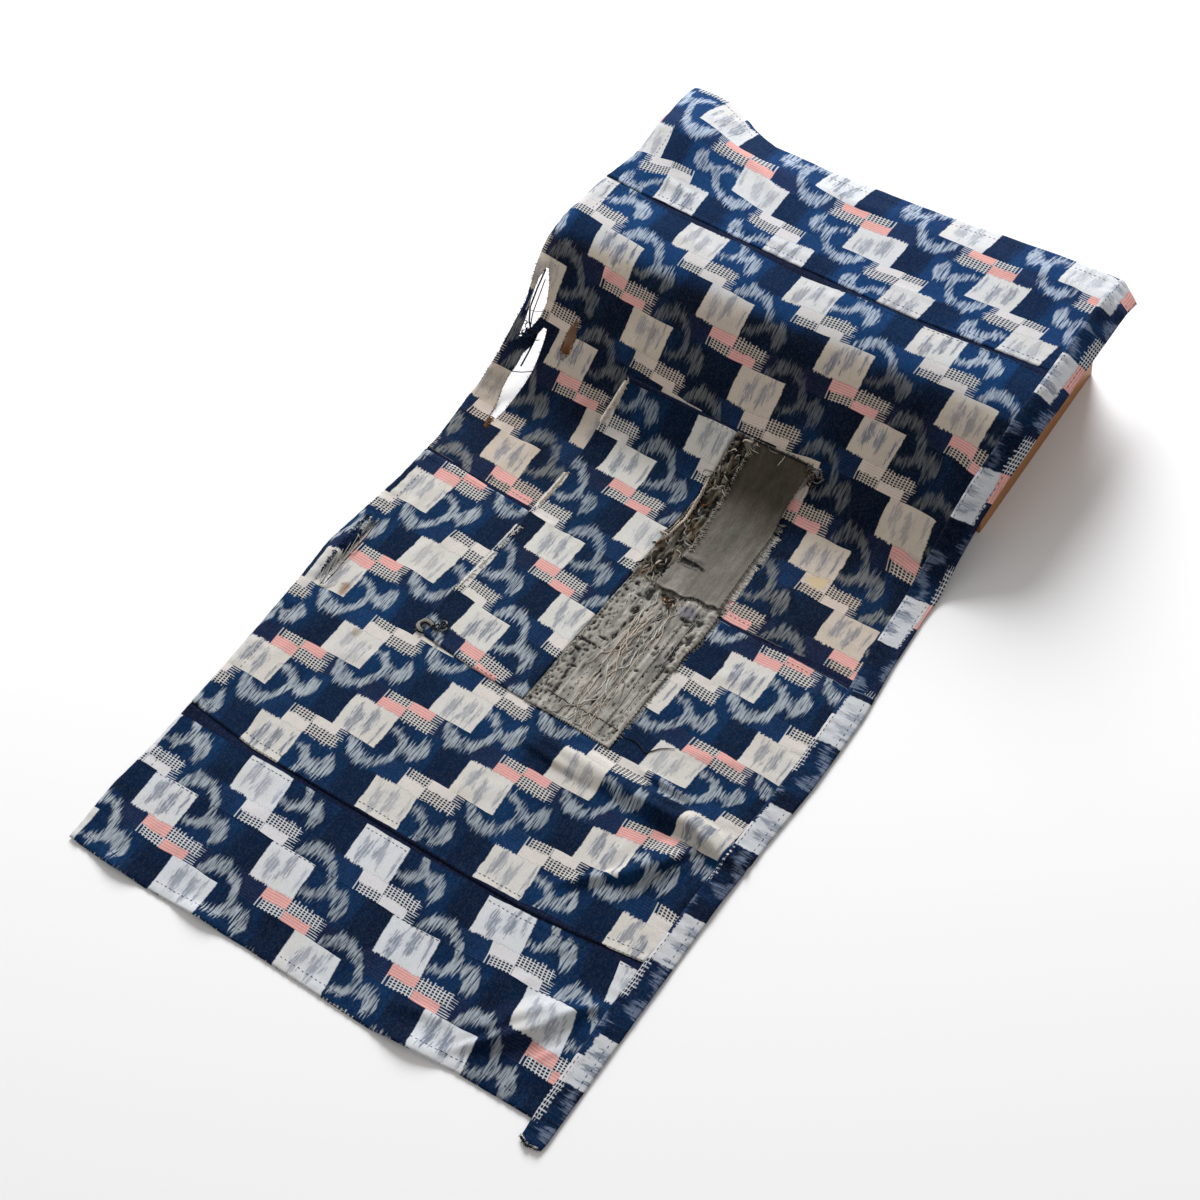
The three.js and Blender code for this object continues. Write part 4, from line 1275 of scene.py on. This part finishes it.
smooth_left, smooth_right = ragged_side(SMOOTH_LEFT, 6.3, 1.1), ragged_side(SMOOTH_RIGHT, 4.7, 0.9)
sides = (smooth_left, smooth_right, line(SMOOTH_NEAR), line(SMOOTH_FAR))
smooth_piece, smooth_flat, smooth_area = cloth(
    "patch_plain_upper_cloth", sides, 1.3, smooth_height, uncharted, smooth_marks, thick=0.7
)
smooth_piece.data.materials.append(fabrics["patch_plain"])

# %% [markdown]
# ## The side band
# A narrow strip binds the right edge, folded double, with the repeat running along it. Its inner edge
# is turned under and sewn down on the widths, so the band stands above them along the seam.

# %% The band
def band_height(u, v):
    """The top of the band, with both its long sides rounded."""
    inner, outer = u - line(BAND_SEAM)(v), line(BAND_EDGE)(v) - u
    rounded = 0.9 * (1 - np.exp(-np.maximum(inner, 0) / 1.1))
    rounded = rounded + 0.6 * (1 - np.exp(-np.maximum(outer, 0) / 1.3))
    ripple = pucker(v, u, inner - 3, 11.0, 10.0, 0.4) + 0.3 * medium(v / 13, u / 9)
    crease = bumps(CREASES, np.full_like(u, 236.0), v)
    return 1.35 + rounded + ripple + 0.3 * unevenness(u, v) + 0.8 * crease


band_sides = (line(BAND_SEAM, -0.6), line(BAND_EDGE), line(BAND_TAIL), line(BAND_FAR))
made = cloth("edge_strip_cloth", band_sides, 1.8, band_height, band_chart, thick=1.2, turned=True)
dress("edge_strip", made)

# %% [markdown]
# ## Stitches, frays and loose threads
# Every thread is a line of points on the cloth: u, v and its height over the lowest layer. All threads of
# one colour are made as the splines of one bevelled curve, which gives them their thickness and tapered
# ends, and the curve is then turned into a single mesh.

# %% Thread helpers
dice = random.Random(11)
strands = {"indigo": [], "dark": [], "white": [], "cream": [], "grey": [], "brown": []}


def thread(colour, points, height, radius=0.28, taper=True):
    """One strand: points are u, v and the rise over the height function, which is worked out later."""
    strands[colour].append((points, height, radius, taper))


def free(u, v):
    """The height function of strands that hang free over the lowest layer."""
    return np.zeros_like(u)


def along(path, spacing):
    """Points at equal steps along a path in u and v, with the path's direction at each."""
    path = np.array(path, float)
    steps = np.hypot(*np.diff(path, axis=0).T)
    total = np.concatenate([[0], np.cumsum(steps)])
    at = np.arange(0, total[-1], spacing)
    u, v = np.interp(at, total, path[:, 0]), np.interp(at, total, path[:, 1])
    du, dv = np.gradient(u), np.gradient(v)
    size = np.maximum(np.hypot(du, dv), 1e-6)
    return list(zip(u.tolist(), v.tolist(), (du / size).tolist(), (dv / size).tolist()))


# one stitch from end to end: how far along it, in half lengths, and how high
STITCH = ((-1.0, -0.15), (-0.5, 0.16), (0.0, 0.24), (0.5, 0.16), (1.0, -0.15))


def running_stitch(colour, path, height, pitch=5.0, share=0.55, radius=0.26, wander=0.35):
    """Short stitches in a line, each one rising out of the cloth and going back in."""
    for u, v, du, dv in along(path, pitch):
        half = pitch * share / 2 * dice.uniform(0.75, 1.2)
        off = dice.uniform(-wander, wander)
        u, v = u - dv * off, v + du * off
        points = [(u + du * half * t, v + dv * half * t, rise) for t, rise in STITCH]
        thread(colour, points, height, radius, False)


def fray(colour, path, height, reach, count, side=1.0, curl=0.6, radius=0.2, lift=0.5, turn=0.0):
    """Loose yarn ends that leave a torn edge. side says which way they point from the path."""
    places = along(path, 0.4)
    for _ in range(count):
        u, v, du, dv = places[dice.randrange(len(places))]
        angle = math.atan2(du * side, -dv * side) + dice.gauss(0, curl * 0.5) + turn
        length = reach * dice.uniform(0.3, 1.0)
        bend = dice.gauss(0, curl) / max(length, 1.0) * 1.2
        points, a, b = [], u - math.cos(angle) * 0.8, v - math.sin(angle) * 0.8
        for i in range(5):
            points.append((a, b, 0.1 + lift * math.sin(math.pi * i / 4) * dice.uniform(0.5, 1.2)))
            a += math.cos(angle) * length / 4
            b += math.sin(angle) * length / 4
            angle += bend * length / 4 + dice.gauss(0, 0.12)
        thread(colour, points, height, radius * dice.uniform(0.8, 1.25))


def down_edge(table, low, high, gap=0.0, step=4.0):
    """A path along an outline that runs lengthwise, moved sideways by gap."""
    at = np.arange(low, high + 0.1, step)
    return list(zip(line(table, gap)(at), at))


def across_edge(table, low, high, gap=0.0):
    """A path along an outline that runs from side to side, moved lengthwise by gap."""
    at = np.arange(low, high + 0.1, 4.0)
    return list(zip(at, line(table, gap)(at)))


def laid(colour, path, height, rise, radius, step=2.0):
    """A thread that lies along a path, at one height over the cloth."""
    thread(colour, [(u, v, rise) for u, v, _, _ in along(path, step)], height, radius)


def top_of(u, v):
    """The height of whatever is uppermost in the middle of the cloth."""
    height = ground(u, v)
    inside = (v > line(PATCH_NEAR)(u)) & (v < line(PATCH_FAR)(u)) & (u > line(PATCH_LEFT)(v))
    height = np.where(inside & (u < line(PATCH_SPLIT)(v)), patch_height(kasuri_sides)(u, v), height)
    plain = inside & (u >= line(PATCH_SPLIT)(v)) & (u < plain_right(v))
    height = np.where(plain, plain_height(u, v), height)
    smooth = (v > line(SMOOTH_NEAR)(u)) & (v < line(SMOOTH_FAR)(u))
    smooth = smooth & (u > line(SMOOTH_LEFT)(v)) & (u < line(SMOOTH_RIGHT)(v))
    return np.where(smooth, smooth_height(u, v), height)


def knot(colours, middle_u, middle_v, spread, loops, thickness):
    """A tangle of yarn: short turns of a circle in random directions."""
    for _ in range(loops):
        u0, v0 = dice.gauss(middle_u, spread * 0.5), dice.gauss(middle_v, spread * 0.6)
        size, turn, start = dice.uniform(0.35, 0.95) * spread, dice.uniform(0, 6.3), dice.uniform(0.5, 2.6)
        points = []
        for i in range(9):
            angle = turn + i * 0.55
            rise = start + 0.9 * math.sin(i * 0.9 + turn)
            points.append((u0 + math.cos(angle) * size, v0 + math.sin(angle) * size * 0.7, rise))
        thread(dice.choice(colours), points, top_of, thickness * dice.uniform(0.6, 1.3))


print("thread helpers ready")

# %% Seams and hems
# the colour, the path, the height it lies on, then the step, the share that shows and the radius
SEWING = [
    ("indigo", across_edge(TUCK_SEAM, -250, 236, -8.5), ground, 4.6),
    ("indigo", across_edge(TUCK_SEAM, -250, 236, 8.5), ground, 4.6),
    ("dark", across_edge(TUCK_SEAM, -255, 238, 0.8), ground, 4.2, 0.4, 0.3),
    ("indigo", across_edge(NEAR_HEM, -252, 234, 10.5), ground, 4.8),
    ("indigo", [(-250, -402), (-60, -405), (60, -409), (180, -404), (234, -403)], ground, 5.2, 0.6),
    ("indigo", down_edge(LEFT_EDGE, -488, 60, 15), ground, 5.0, 0.5),
    ("dark", down_edge(LEFT_EDGE, 252, 520, 21), ground, 5.2, 0.5),
    ("indigo", across_edge(MIDDLE_SEAM, -246, 240, 9), ground, 4.8),
    ("indigo", across_edge(MIDDLE_SEAM, -246, 240, -7), ground, 4.8),
    ("dark", across_edge(TOP_SEAM, -232, 260, 7), ground, 5.0),
    ("dark", across_edge(TOP_SEAM, -232, 260, -6), ground, 5.0),
    ("dark", across_edge(FAR_HEM, -220, 258, -12), ground, 5.0),
    ("dark", down_edge(PATCH_LEFT, -158, 176, 3.5), patch_top, 5.5, 0.5),
    ("dark", across_edge(PATCH_NEAR, -124, -2, 3.0), patch_top, 5.0, 0.55),
    ("dark", across_edge(PATCH_FAR, -106, 20, -3.0), patch_top, 5.5, 0.5),
    ("dark", down_edge(BAND_SEAM, -506, 480, 2.2), band_height, 5.0, 0.5),
    ("indigo", down_edge(BAND_EDGE, -500, 470, -6.0), band_height, 6.0, 0.5),
]
for row in SEWING:
    running_stitch(*row)
print({colour: len(made) for colour, made in strands.items()})

# %% Frays on the plain patch
inner = [(44, 172), (38, 158), (35, 142), (34, 120), (35, 101), (37, 84), (39, 62), (41, 40)]
for colour, count, reach in (("cream", 90, 8), ("grey", 110, 7), ("dark", 80, 8), ("white", 26, 7)):
    fray(colour, inner, top_of, reach, count, curl=0.9, lift=0.9)
outer = down_edge(PATCH_SPLIT, 2, 172, 2.0)
for colour, count in (("cream", 70), ("grey", 60), ("dark", 50)):
    fray(colour, outer, top_of, 6, count, side=-1.0, curl=1.2, lift=0.9, turn=0.5)
strip_left = down_edge(PATCH_SPLIT, -170, 2, 1.5)
fray("grey", strip_left, top_of, 5, 90, side=-1.0, curl=0.8)
fray("dark", strip_left, top_of, 5, 40, side=-1.0, curl=0.9)
right_side = [(float(plain_right(np.array(v))), v) for v in np.arange(-170, 2, 4.0)]
fray("grey", right_side, ground, 6, 170, side=-1.0, curl=0.5, lift=0.6)
fray("white", [p for p in right_side if -155 < p[1] < -112], ground, 5, 40, side=-1.0, curl=0.4)
fray("dark", right_side, ground, 5, 60, side=-1.0, curl=0.7)
smooth_side = down_edge(SMOOTH_RIGHT, -2, 112)
fray("grey", smooth_side, top_of, 9, 150, side=-1.0, curl=0.3, radius=0.3, lift=0.4)
white_side = [p for p in smooth_side if 5 < p[1] < 102]
fray("white", white_side, top_of, 10, 130, side=-1.0, curl=0.3, radius=0.32, lift=0.4)
laid("dark", [(40, 173.5), (60, 171.5), (80, 172.5), (103, 171.5)], top_of, 0.2, 0.8)
fray("dark", [(40, 173), (70, 172), (103, 171)], top_of, 5, 70, curl=0.8, radius=0.3)
fray("grey", SMOOTH_NEAR, top_of, 5, 80, side=-1.0, curl=0.9, lift=0.8)
fray("dark", SMOOTH_NEAR, top_of, 6, 50, side=-1.0, curl=0.9, lift=0.8)
fray("dark", [(36, 33), (50, 31), (64, 30)], top_of, 4, 50, side=-1.0, curl=0.8)
fray("grey", [(36, 25), (50, 24), (62, 26)], top_of, 4, 40, curl=0.8)

# short curly yarns over the open strip
for _ in range(120):
    v, heading = dice.uniform(0, 172), dice.gauss(0, 0.6)
    u = float(line(PATCH_SPLIT)(v)) + dice.uniform(2, 24)
    radius, base, points = dice.uniform(0.3, 1.3), dice.uniform(0.0, 1.8), []
    for i in range(int(dice.uniform(3, 8))):
        points.append((u, v, base + 0.7 * math.sin(i * 1.1 + radius * 9)))
        heading = heading * 0.8 + dice.gauss(0, 0.5)
        u, v = u + 2.6 * math.sin(heading), min(max(v - 2.6 * math.cos(heading), -6), 173)
    thread(dice.choice(["cream", "grey", "grey", "dark", "dark", "brown", "grey"]), points, top_of, radius)
# the rolled edge: three plies twisted together
rolled = [(13.5, 124), (14.5, 110), (15.5, 95), (17, 80), (17.5, 66), (16, 54), (14, 48)]
for ply in range(3):
    points = []
    for i, (u, v, _, _) in enumerate(along(rolled, 1.5)):
        twist = i * 0.8 + 2.1 * ply
        points.append((u + 0.9 * math.sin(twist), v, 1.5 + 0.9 * math.cos(twist)))
    thread("cream", points, top_of, 0.85)

# %% Darning on the plain patch
# thick darning yarns that were placed one by one: the path, the colour and the radius
for path, colour, radius in (
    (
        [(45, -22), (50, -34), (47, -46), (46.5, -66), (47, -86), (52, -98), (58, -108), (60, -120)],
        "cream", 0.75,
    ),
    (
        [(56, -12), (60, -20), (65, -28), (66, -40), (65.5, -60), (66, -90), (66, -130), (67, -172)],
        "cream", 0.6,
    ),
    ([(62, -30), (61.5, -60), (62, -100), (61, -140), (62, -172)], "grey", 0.6),
    ([(42, -32), (41.5, -70), (42, -110), (41.5, -150), (44, -172)], "cream", 0.6),
    ([(53, -14), (57, -19), (61, -25), (64, -30)], "dark", 0.6),
    ([(52, -56), (56, -70), (50, -84), (54, -96)], "cream", 0.45),
    ([(46, -116), (46.5, -124), (47, -134), (46, -148), (50, -160), (47, -172)], "cream", 0.6),
    ([(56, -160), (60, -168), (63, -174)], "cream", 0.5), ([(90, -96), (96, -94), (101, -92)], "cream", 0.4),
    ([(79, -30), (80, -60), (79, -95), (80, -130), (79, -168)], "grey", 0.5),
    ([(89, -22), (88, -50), (89, -80), (87, -110), (88, -148)], "grey", 0.6),
    ([(72, 160), (74, 166), (75, 172)], "white", 0.45),
    ([(56, 173), (60, 170), (66, 170), (70, 173)], "grey", 0.5),
):
    points = []
    for i, (u, v, _, _) in enumerate(along(path, 1.6)):
        points.append((u + dice.gauss(0, 0.18), v, radius * 0.5 + 0.15 * math.sin(i * 1.3)))
    thread(colour, points, top_of, radius)
# thinner ones, which wander down the middle of the lower half
for _ in range(44):
    u, v, heading = dice.gauss(55, 8), dice.uniform(-160, -14), dice.gauss(0, 0.12)
    radius, points = dice.uniform(0.3, 0.75), []
    for i in range(int(dice.uniform(5, 20))):
        points.append((u, v, radius * 0.5 + dice.uniform(0.0, 0.5)))
        heading = heading * 0.85 + dice.gauss(0, 0.24)
        u, v = u + 3.0 * math.sin(heading), max(v - 3.0 * math.cos(heading), -173)
    thread(dice.choice(["cream", "cream", "grey", "white"]), points, top_of, radius)
running_stitch("dark", [(16, -153), (40, -156), (70, -156), (95, -158)], top_of, 3.2, 0.9, 0.5, 0.5)
running_stitch("dark", [(4, -92), (30, -92)], top_of, 3.6, 0.8, 0.4, 0.4)
# overcast stitches at the foot, then rows of small stitches down the lower half
for u in np.arange(38, 92, 2.6):
    v = float(line(PATCH_NEAR)(u))
    thread("white", [(u, v + 3.2, 0.0), (u + 0.4, v + 1.0, 0.4), (u + 0.8, v - 1.2, 1.0)], top_of, 0.26)
for row_u in (10.5, 20, 33, 42.5, 54, 66.5, 79, 90):
    lean = 8 if row_u < 15 else 0.5
    running_stitch("grey", [(row_u, -8), (row_u - lean, -172)], top_of, 4.4, 0.5, 0.3, 0.5)
    running_stitch("dark", [(row_u + 1.8, -8), (row_u + 1.8 - lean, -172)], top_of, 7.0, 0.3, 0.32, 0.9)
print({colour: len(made) for colour, made in strands.items()})

# %% Threads across the tears
def bridge(colour, points, radius, sag=0.0):
    """A thread that hangs free between two edges of a tear."""
    points = np.array(points, float)
    t = np.linspace(0, 1, 9)
    ends = [np.interp(t, np.linspace(0, 1, len(points)), points[:, i]) for i in range(2)]
    heights = 1.0 - sag * np.sin(math.pi * t)
    thread(colour, list(zip(*ends, heights)), free, radius, False)


# yarns that still cross the two long tears
bridge("indigo", [(-237, 245), (-237.5, 225), (-236.5, 205), (-231, 192), (-226, 186)], 0.95, 1.0)
bridge("indigo", [(-233, 236), (-232, 215), (-231, 200), (-227, 188)], 0.6, 0.8)
bridge("grey", [(-238, 202), (-230, 203), (-220, 206)], 0.45, 0.6)
bridge("dark", [(-226, 140), (-216, 143), (-205, 148)], 0.6, 0.8)
bridge("dark", [(-218, 186), (-217, 174), (-218, 160), (-219, 148)], 0.9, 0.5)
# loops of pulled yarn beside the slit
for u, v in ((-248, -128), (-247, -120), (-246, -110), (-245, -98)):
    loop = [(u, v), (u + 2, v - 12), (u + 5.5, v - 22), (u + 10, v - 19), (u + 11, v - 10)]
    laid("white", loop, ground, 1.0, 0.45)
laid("white", [(-250, -140), (-246, -154), (-241, -163), (-233, -160), (-228, -152)], ground, 0.9, 0.5)
laid("brown", [(-238.5, -158), (-237.2, -122), (-237, -94), (-239.5, -74)], ground, 0.15, 0.75, 3.0)
fray("brown", [(-220, 74), (-221, 88)], ground, 7, 60, side=-1.0, curl=0.5, radius=0.35, lift=0.6)
fray("indigo", [(-249, -70), (-249, -150)], ground, 5, 60, side=-1.0, curl=1.2, radius=0.5, lift=1.6)
fray("white", [(-246, -74), (-243, -100)], ground, 5, 26, side=-1.0, curl=1.2, radius=0.35, lift=1.8)
# ends of cut yarn round every tear, at the left edge, round the kasuri patch and at the hem
for tear, colours in (
    (LONG_TEAR, ("indigo", "cream")), (HIGH_TEAR, ("indigo", "cream")),
    (SMALL_HOLE, ("dark", "cream")), (LONG_SLIT, ("indigo", "white")),
):
    left_rim = [(a, v) for v, a, b in tear]
    right_rim = [(b, v) for v, a, b in tear]
    for colour, count in zip(colours, (44, 22)):
        fray(colour, left_rim, ground, 3.2, count, side=-1.0, curl=0.8, lift=0.2)
        fray(colour, right_rim, ground, 3.2, count, curl=0.8, lift=0.2)
fray("indigo", down_edge(LEFT_EDGE, 120, 250), ground, 3.0, 90, curl=0.8, lift=0.2)
fray("indigo", down_edge(LEFT_EDGE, -200, 100, 0.3), ground, 2.0, 120, curl=0.8, radius=0.17, lift=0.1)
fray("white", down_edge(PATCH_LEFT, -105, -12), top_of, 3.5, 60, curl=0.8)
for colour, low, high, reach, count, radius in (
    ("cream", 128, 178, 7, 150, 0.4), ("cream", 20, 66, 6, 90, 0.35), ("white", -105, -12, 6, 110, 0.35),
):
    path = down_edge(PATCH_LEFT, low, high, 3.0)
    fray(colour, path, top_of, reach, count, side=-1.0, curl=1.2, radius=radius, turn=0.9)
fray("white", across_edge(NEAR_HEM, -255, 236), ground, 1.8, 60, side=-1.0, radius=0.16)
fray("dark", [(237, -514), (246, -519), (258, -517)], band_height, 4.0, 50, side=-1.0, curl=0.9, radius=0.25)
fray("white", [(238, -514), (247, -518), (256, -517)], band_height, 3.5, 26, side=-1.0, curl=0.9, radius=0.22)

# the loose end of the sewing thread at the plain patch's corner, and a tuft at its top corner
loose = [
    (97, -160), (104, -160), (110, -159), (116, -160), (122, -163), (127, -165), (131, -160), (135, -155),
    (141, -151), (148, -148),
]
laid("dark", loose, ground, 0.6, 0.55)
corner = [(100, 172), (114, 170), (118, 164)]
fray("dark", corner, top_of, 9, 70, side=-1.0, curl=1.4, lift=1.6)
fray("grey", corner, top_of, 8, 40, side=-1.0, curl=1.4, lift=1.8)

# a curl of thick yarn and four tangles
turns = [math.radians(40 + 22 * i) for i in range(12)]
for colour, size, thickness, rise in (
    ("dark", 10.0, 1.1, 0.8), ("grey", 8.2, 1.5, 1.4), ("grey", 6.4, 1.3, 1.7), ("dark", 4.6, 0.9, 1.0),
):
    points = [(-124 + size * math.cos(turn), -152 + 0.8 * size * math.sin(turn), rise) for turn in turns]
    thread(colour, points, top_of, thickness)
knot(["indigo", "grey", "dark"], -112, -147, 6.0, 9, 0.6)
knot(["indigo", "dark", "indigo"], -225, 180, 6.0, 30, 0.7)
knot(["dark", "grey", "brown"], 108, 163, 5.0, 22, 0.5)
knot(["brown", "cream", "dark"], 59, -18, 5.5, 16, 0.7)
print({colour: len(made) for colour, made in strands.items()})

# %% Turn the threads into meshes
def thread_material(name, colour):
    """A dull yarn with lighter and darker lengths."""
    material, tree, shader = new_material(name, {"Roughness": 0.85, "Specular IOR Level": 0.15})
    place = tree.nodes.new("ShaderNodeTexCoord").outputs["Object"]
    dark, light = [c * 0.5 for c in colour[:3]], [min(0.9, c * 1.35) for c in colour[:3]]
    link(mix(cloud(place, 420.0, 3.0, 0.6), (*dark, 1.0), (*light, 1.0)), shader.inputs["Base Color"])
    emboss(shader, cloud(place, 1500.0, 2.0), 0.4, 0.0002)
    return material


THREAD_TONES = {
    "indigo": tone(16, 34, 66), "dark": tone(26, 28, 32), "white": tone(206, 204, 198),
    "cream": tone(196, 182, 166), "grey": tone(142, 139, 134), "brown": tone(104, 70, 40),
}
for colour, made in strands.items():
    curve = bpy.data.curves.new(colour + "_threads", "CURVE")
    curve.dimensions, curve.bevel_depth, curve.bevel_resolution, curve.use_fill_caps = "3D", MM, 0, True
    # the points of all the strands are raised and draped together, which is far quicker
    every = np.concatenate([points for points, *_ in made])
    owner = np.repeat(np.arange(len(made)), [len(points) for points, *_ in made])
    for height in dict.fromkeys(strand[1] for strand in made):
        mine = np.array([strand[1] is height for strand in made])[owner]
        every[mine, 2] += height(every[mine, 0], every[mine, 1])
    placed = drape(*every.T)
    start = 0
    for points, _, radius, taper in made:
        place = placed[start : start + len(points)]
        start += len(points)
        spline = curve.splines.new("POLY")
        spline.points.add(len(points) - 1)
        spline.points.foreach_set("co", np.concatenate([place, np.ones((len(points), 1))], 1).ravel())
        t = np.linspace(0, 1, len(points))
        widths = radius * (1 - 0.55 * np.abs(2 * t - 1) ** 3 if taper else np.ones_like(t))
        spline.points.foreach_set("radius", widths)
    draft = bpy.data.objects.new("draft", curve)
    bpy.context.scene.collection.objects.link(draft)
    mesh = bpy.data.meshes.new_from_object(draft.evaluated_get(bpy.context.evaluated_depsgraph_get()))
    bpy.data.objects.remove(draft)
    bpy.data.curves.remove(curve)
    mesh.name = colour + "_threads"
    mesh.materials.clear()
    mesh.materials.append(thread_material(colour + " thread", THREAD_TONES[colour]))
    piece = piece_from(mesh)
    "plain_patch" if colour in ("grey", "cream", "brown") else "kasuri"
    print(colour, "threads:", len(made), "strands,", len(mesh.polygons), "faces")

# %% [markdown]
# ## The wooden stand
# The stand's solids already have the right shape, so they stay and only get a wood. The grain is noise
# pulled out long on Object coordinates, from back to front on the ends and the bent board and from side to
# side on the back board, with fine dark pores along it.

# %% Wood
def wood_material(name, scale):
    """Varnished wood. scale is how fast the grain changes along x, y and z."""
    material, tree, shader = new_material(name, {"Roughness": 0.42})
    mapping = tree.nodes.new("ShaderNodeMapping")
    mapping.inputs["Scale"].default_value = scale
    link(tree.nodes.new("ShaderNodeTexCoord").outputs["Object"], mapping.inputs["Vector"])
    grain = cloud(mapping.outputs["Vector"], 1.0, 6.0, 0.6)
    pores = cloud(mapping.outputs["Vector"], 9.0, 2.0, 0.5)
    pored = ((pores - 0.55) * 4.0).clip() * 0.5
    colour = layered(tone(104, 58, 12), (grain, tone(186, 118, 40)), (pored, tone(70, 36, 10)))
    link(colour, shader.inputs["Base Color"])
    emboss(shader, grain + pores * 0.4, 0.25, 0.0004)
    return material


side_wood = wood_material("varnished wood, grain from back to front", (60, 5, 60))
back_wood = wood_material("varnished wood, grain from side to side", (5, 60, 60))
for name in ("stand_side_left", "stand_side_right", "stand_shell", "stand_back"):
    board = bpy.data.objects[name]
    board.data.materials.clear()
    board.data.materials.append(back_wood if name == "stand_back" else side_wood)
print("wood on four boards")

# %% [markdown]
# ## The cut size of each sheet
# Each sheet's area as built is set against its cut width times its length, and the smaller of the two is
# taken.

for name, (piece, flat, area) in sheets.items():
    area = min(area, flat[0] * flat[1])
area = min(smooth_area, smooth_flat[0] * smooth_flat[1])
print(len(sheets), "sheets declared")

# %% [markdown]
# ## Room, light and camera
# A pale floor, one large soft light from the upper left behind the cloth, a weak fill from the front, and
# a bright even room. The light rakes over the cloth, so that creases and stitches show.

# %% Floor
floor_bm = bmesh.new()
bmesh.ops.create_grid(floor_bm, x_segments=1, y_segments=1, size=6.0)
floor_mesh = bpy.data.meshes.new("floor")
floor_bm.to_mesh(floor_mesh)
floor_bm.free()
floor = bpy.data.objects.new("floor", floor_mesh)
bpy.context.scene.collection.objects.link(floor)
# a little below nothing, so that the cloth's underside is never in the floor's own plane
floor.location.z = -0.0002
FLOOR_LOOK = {"Base Color": (0.90, 0.90, 0.915, 1), "Roughness": 0.8}
paper, _, _ = new_material("white paper floor", FLOOR_LOOK)
floor.data.materials.append(paper)

# %% Lights
scene = bpy.context.scene


def area_light(name, place, target, size, power, colour):
    """A round soft light at a place, turned to a target."""
    data = bpy.data.lights.new(name, "AREA")
    data.shape, data.size, data.energy, data.color = "DISK", size, power, colour
    lamp = bpy.data.objects.new(name, data)
    lamp.location = place
    lamp.rotation_mode = "QUATERNION"
    lamp.rotation_quaternion = (Vector(target) - Vector(place)).to_track_quat("-Z", "Y")
    scene.collection.objects.link(lamp)
    return lamp


area_light("window light", (-1.9, 3.2, 2.2), (0.0, 0.0, 0.0), 2.4, 286, (0.97, 0.985, 1.0))
area_light("front fill", (1.4, -2.2, 2.2), (0.0, -0.1, 0.0), 2.0, 3, (1.0, 0.95, 0.88))
world = bpy.data.worlds.new("bright room")
world.use_nodes = True
world.node_tree.nodes["Background"].inputs["Color"].default_value = (1.0, 0.975, 0.94, 1)
world.node_tree.nodes["Background"].inputs["Strength"].default_value = 0.43
scene.world = world
scene.view_settings.view_transform = "Standard"
scene.view_settings.look = "None"

# %% Camera
camera_data = bpy.data.cameras.new("camera")
camera_data.lens, camera_data.sensor_width = 70.3365, 36.0
camera_data.clip_start, camera_data.clip_end = 0.1, 20.0
camera = bpy.data.objects.new("camera", camera_data)
right, up, back = (
    Vector((0.8267344, 0.55454498, -0.09481614)),
    Vector((-0.39890028, 0.69664757, 0.59628914)),
    Vector((0.39672258, -0.45515056, 0.79715065)),
)
turn = Matrix((right, up, back)).transposed().to_4x4()
camera.matrix_world = Matrix.Translation((0.8437, -1.01785, 1.720)) @ turn
scene.collection.objects.link(camera)
scene.camera = camera
print("camera at", [round(c, 3) for c in camera.location])
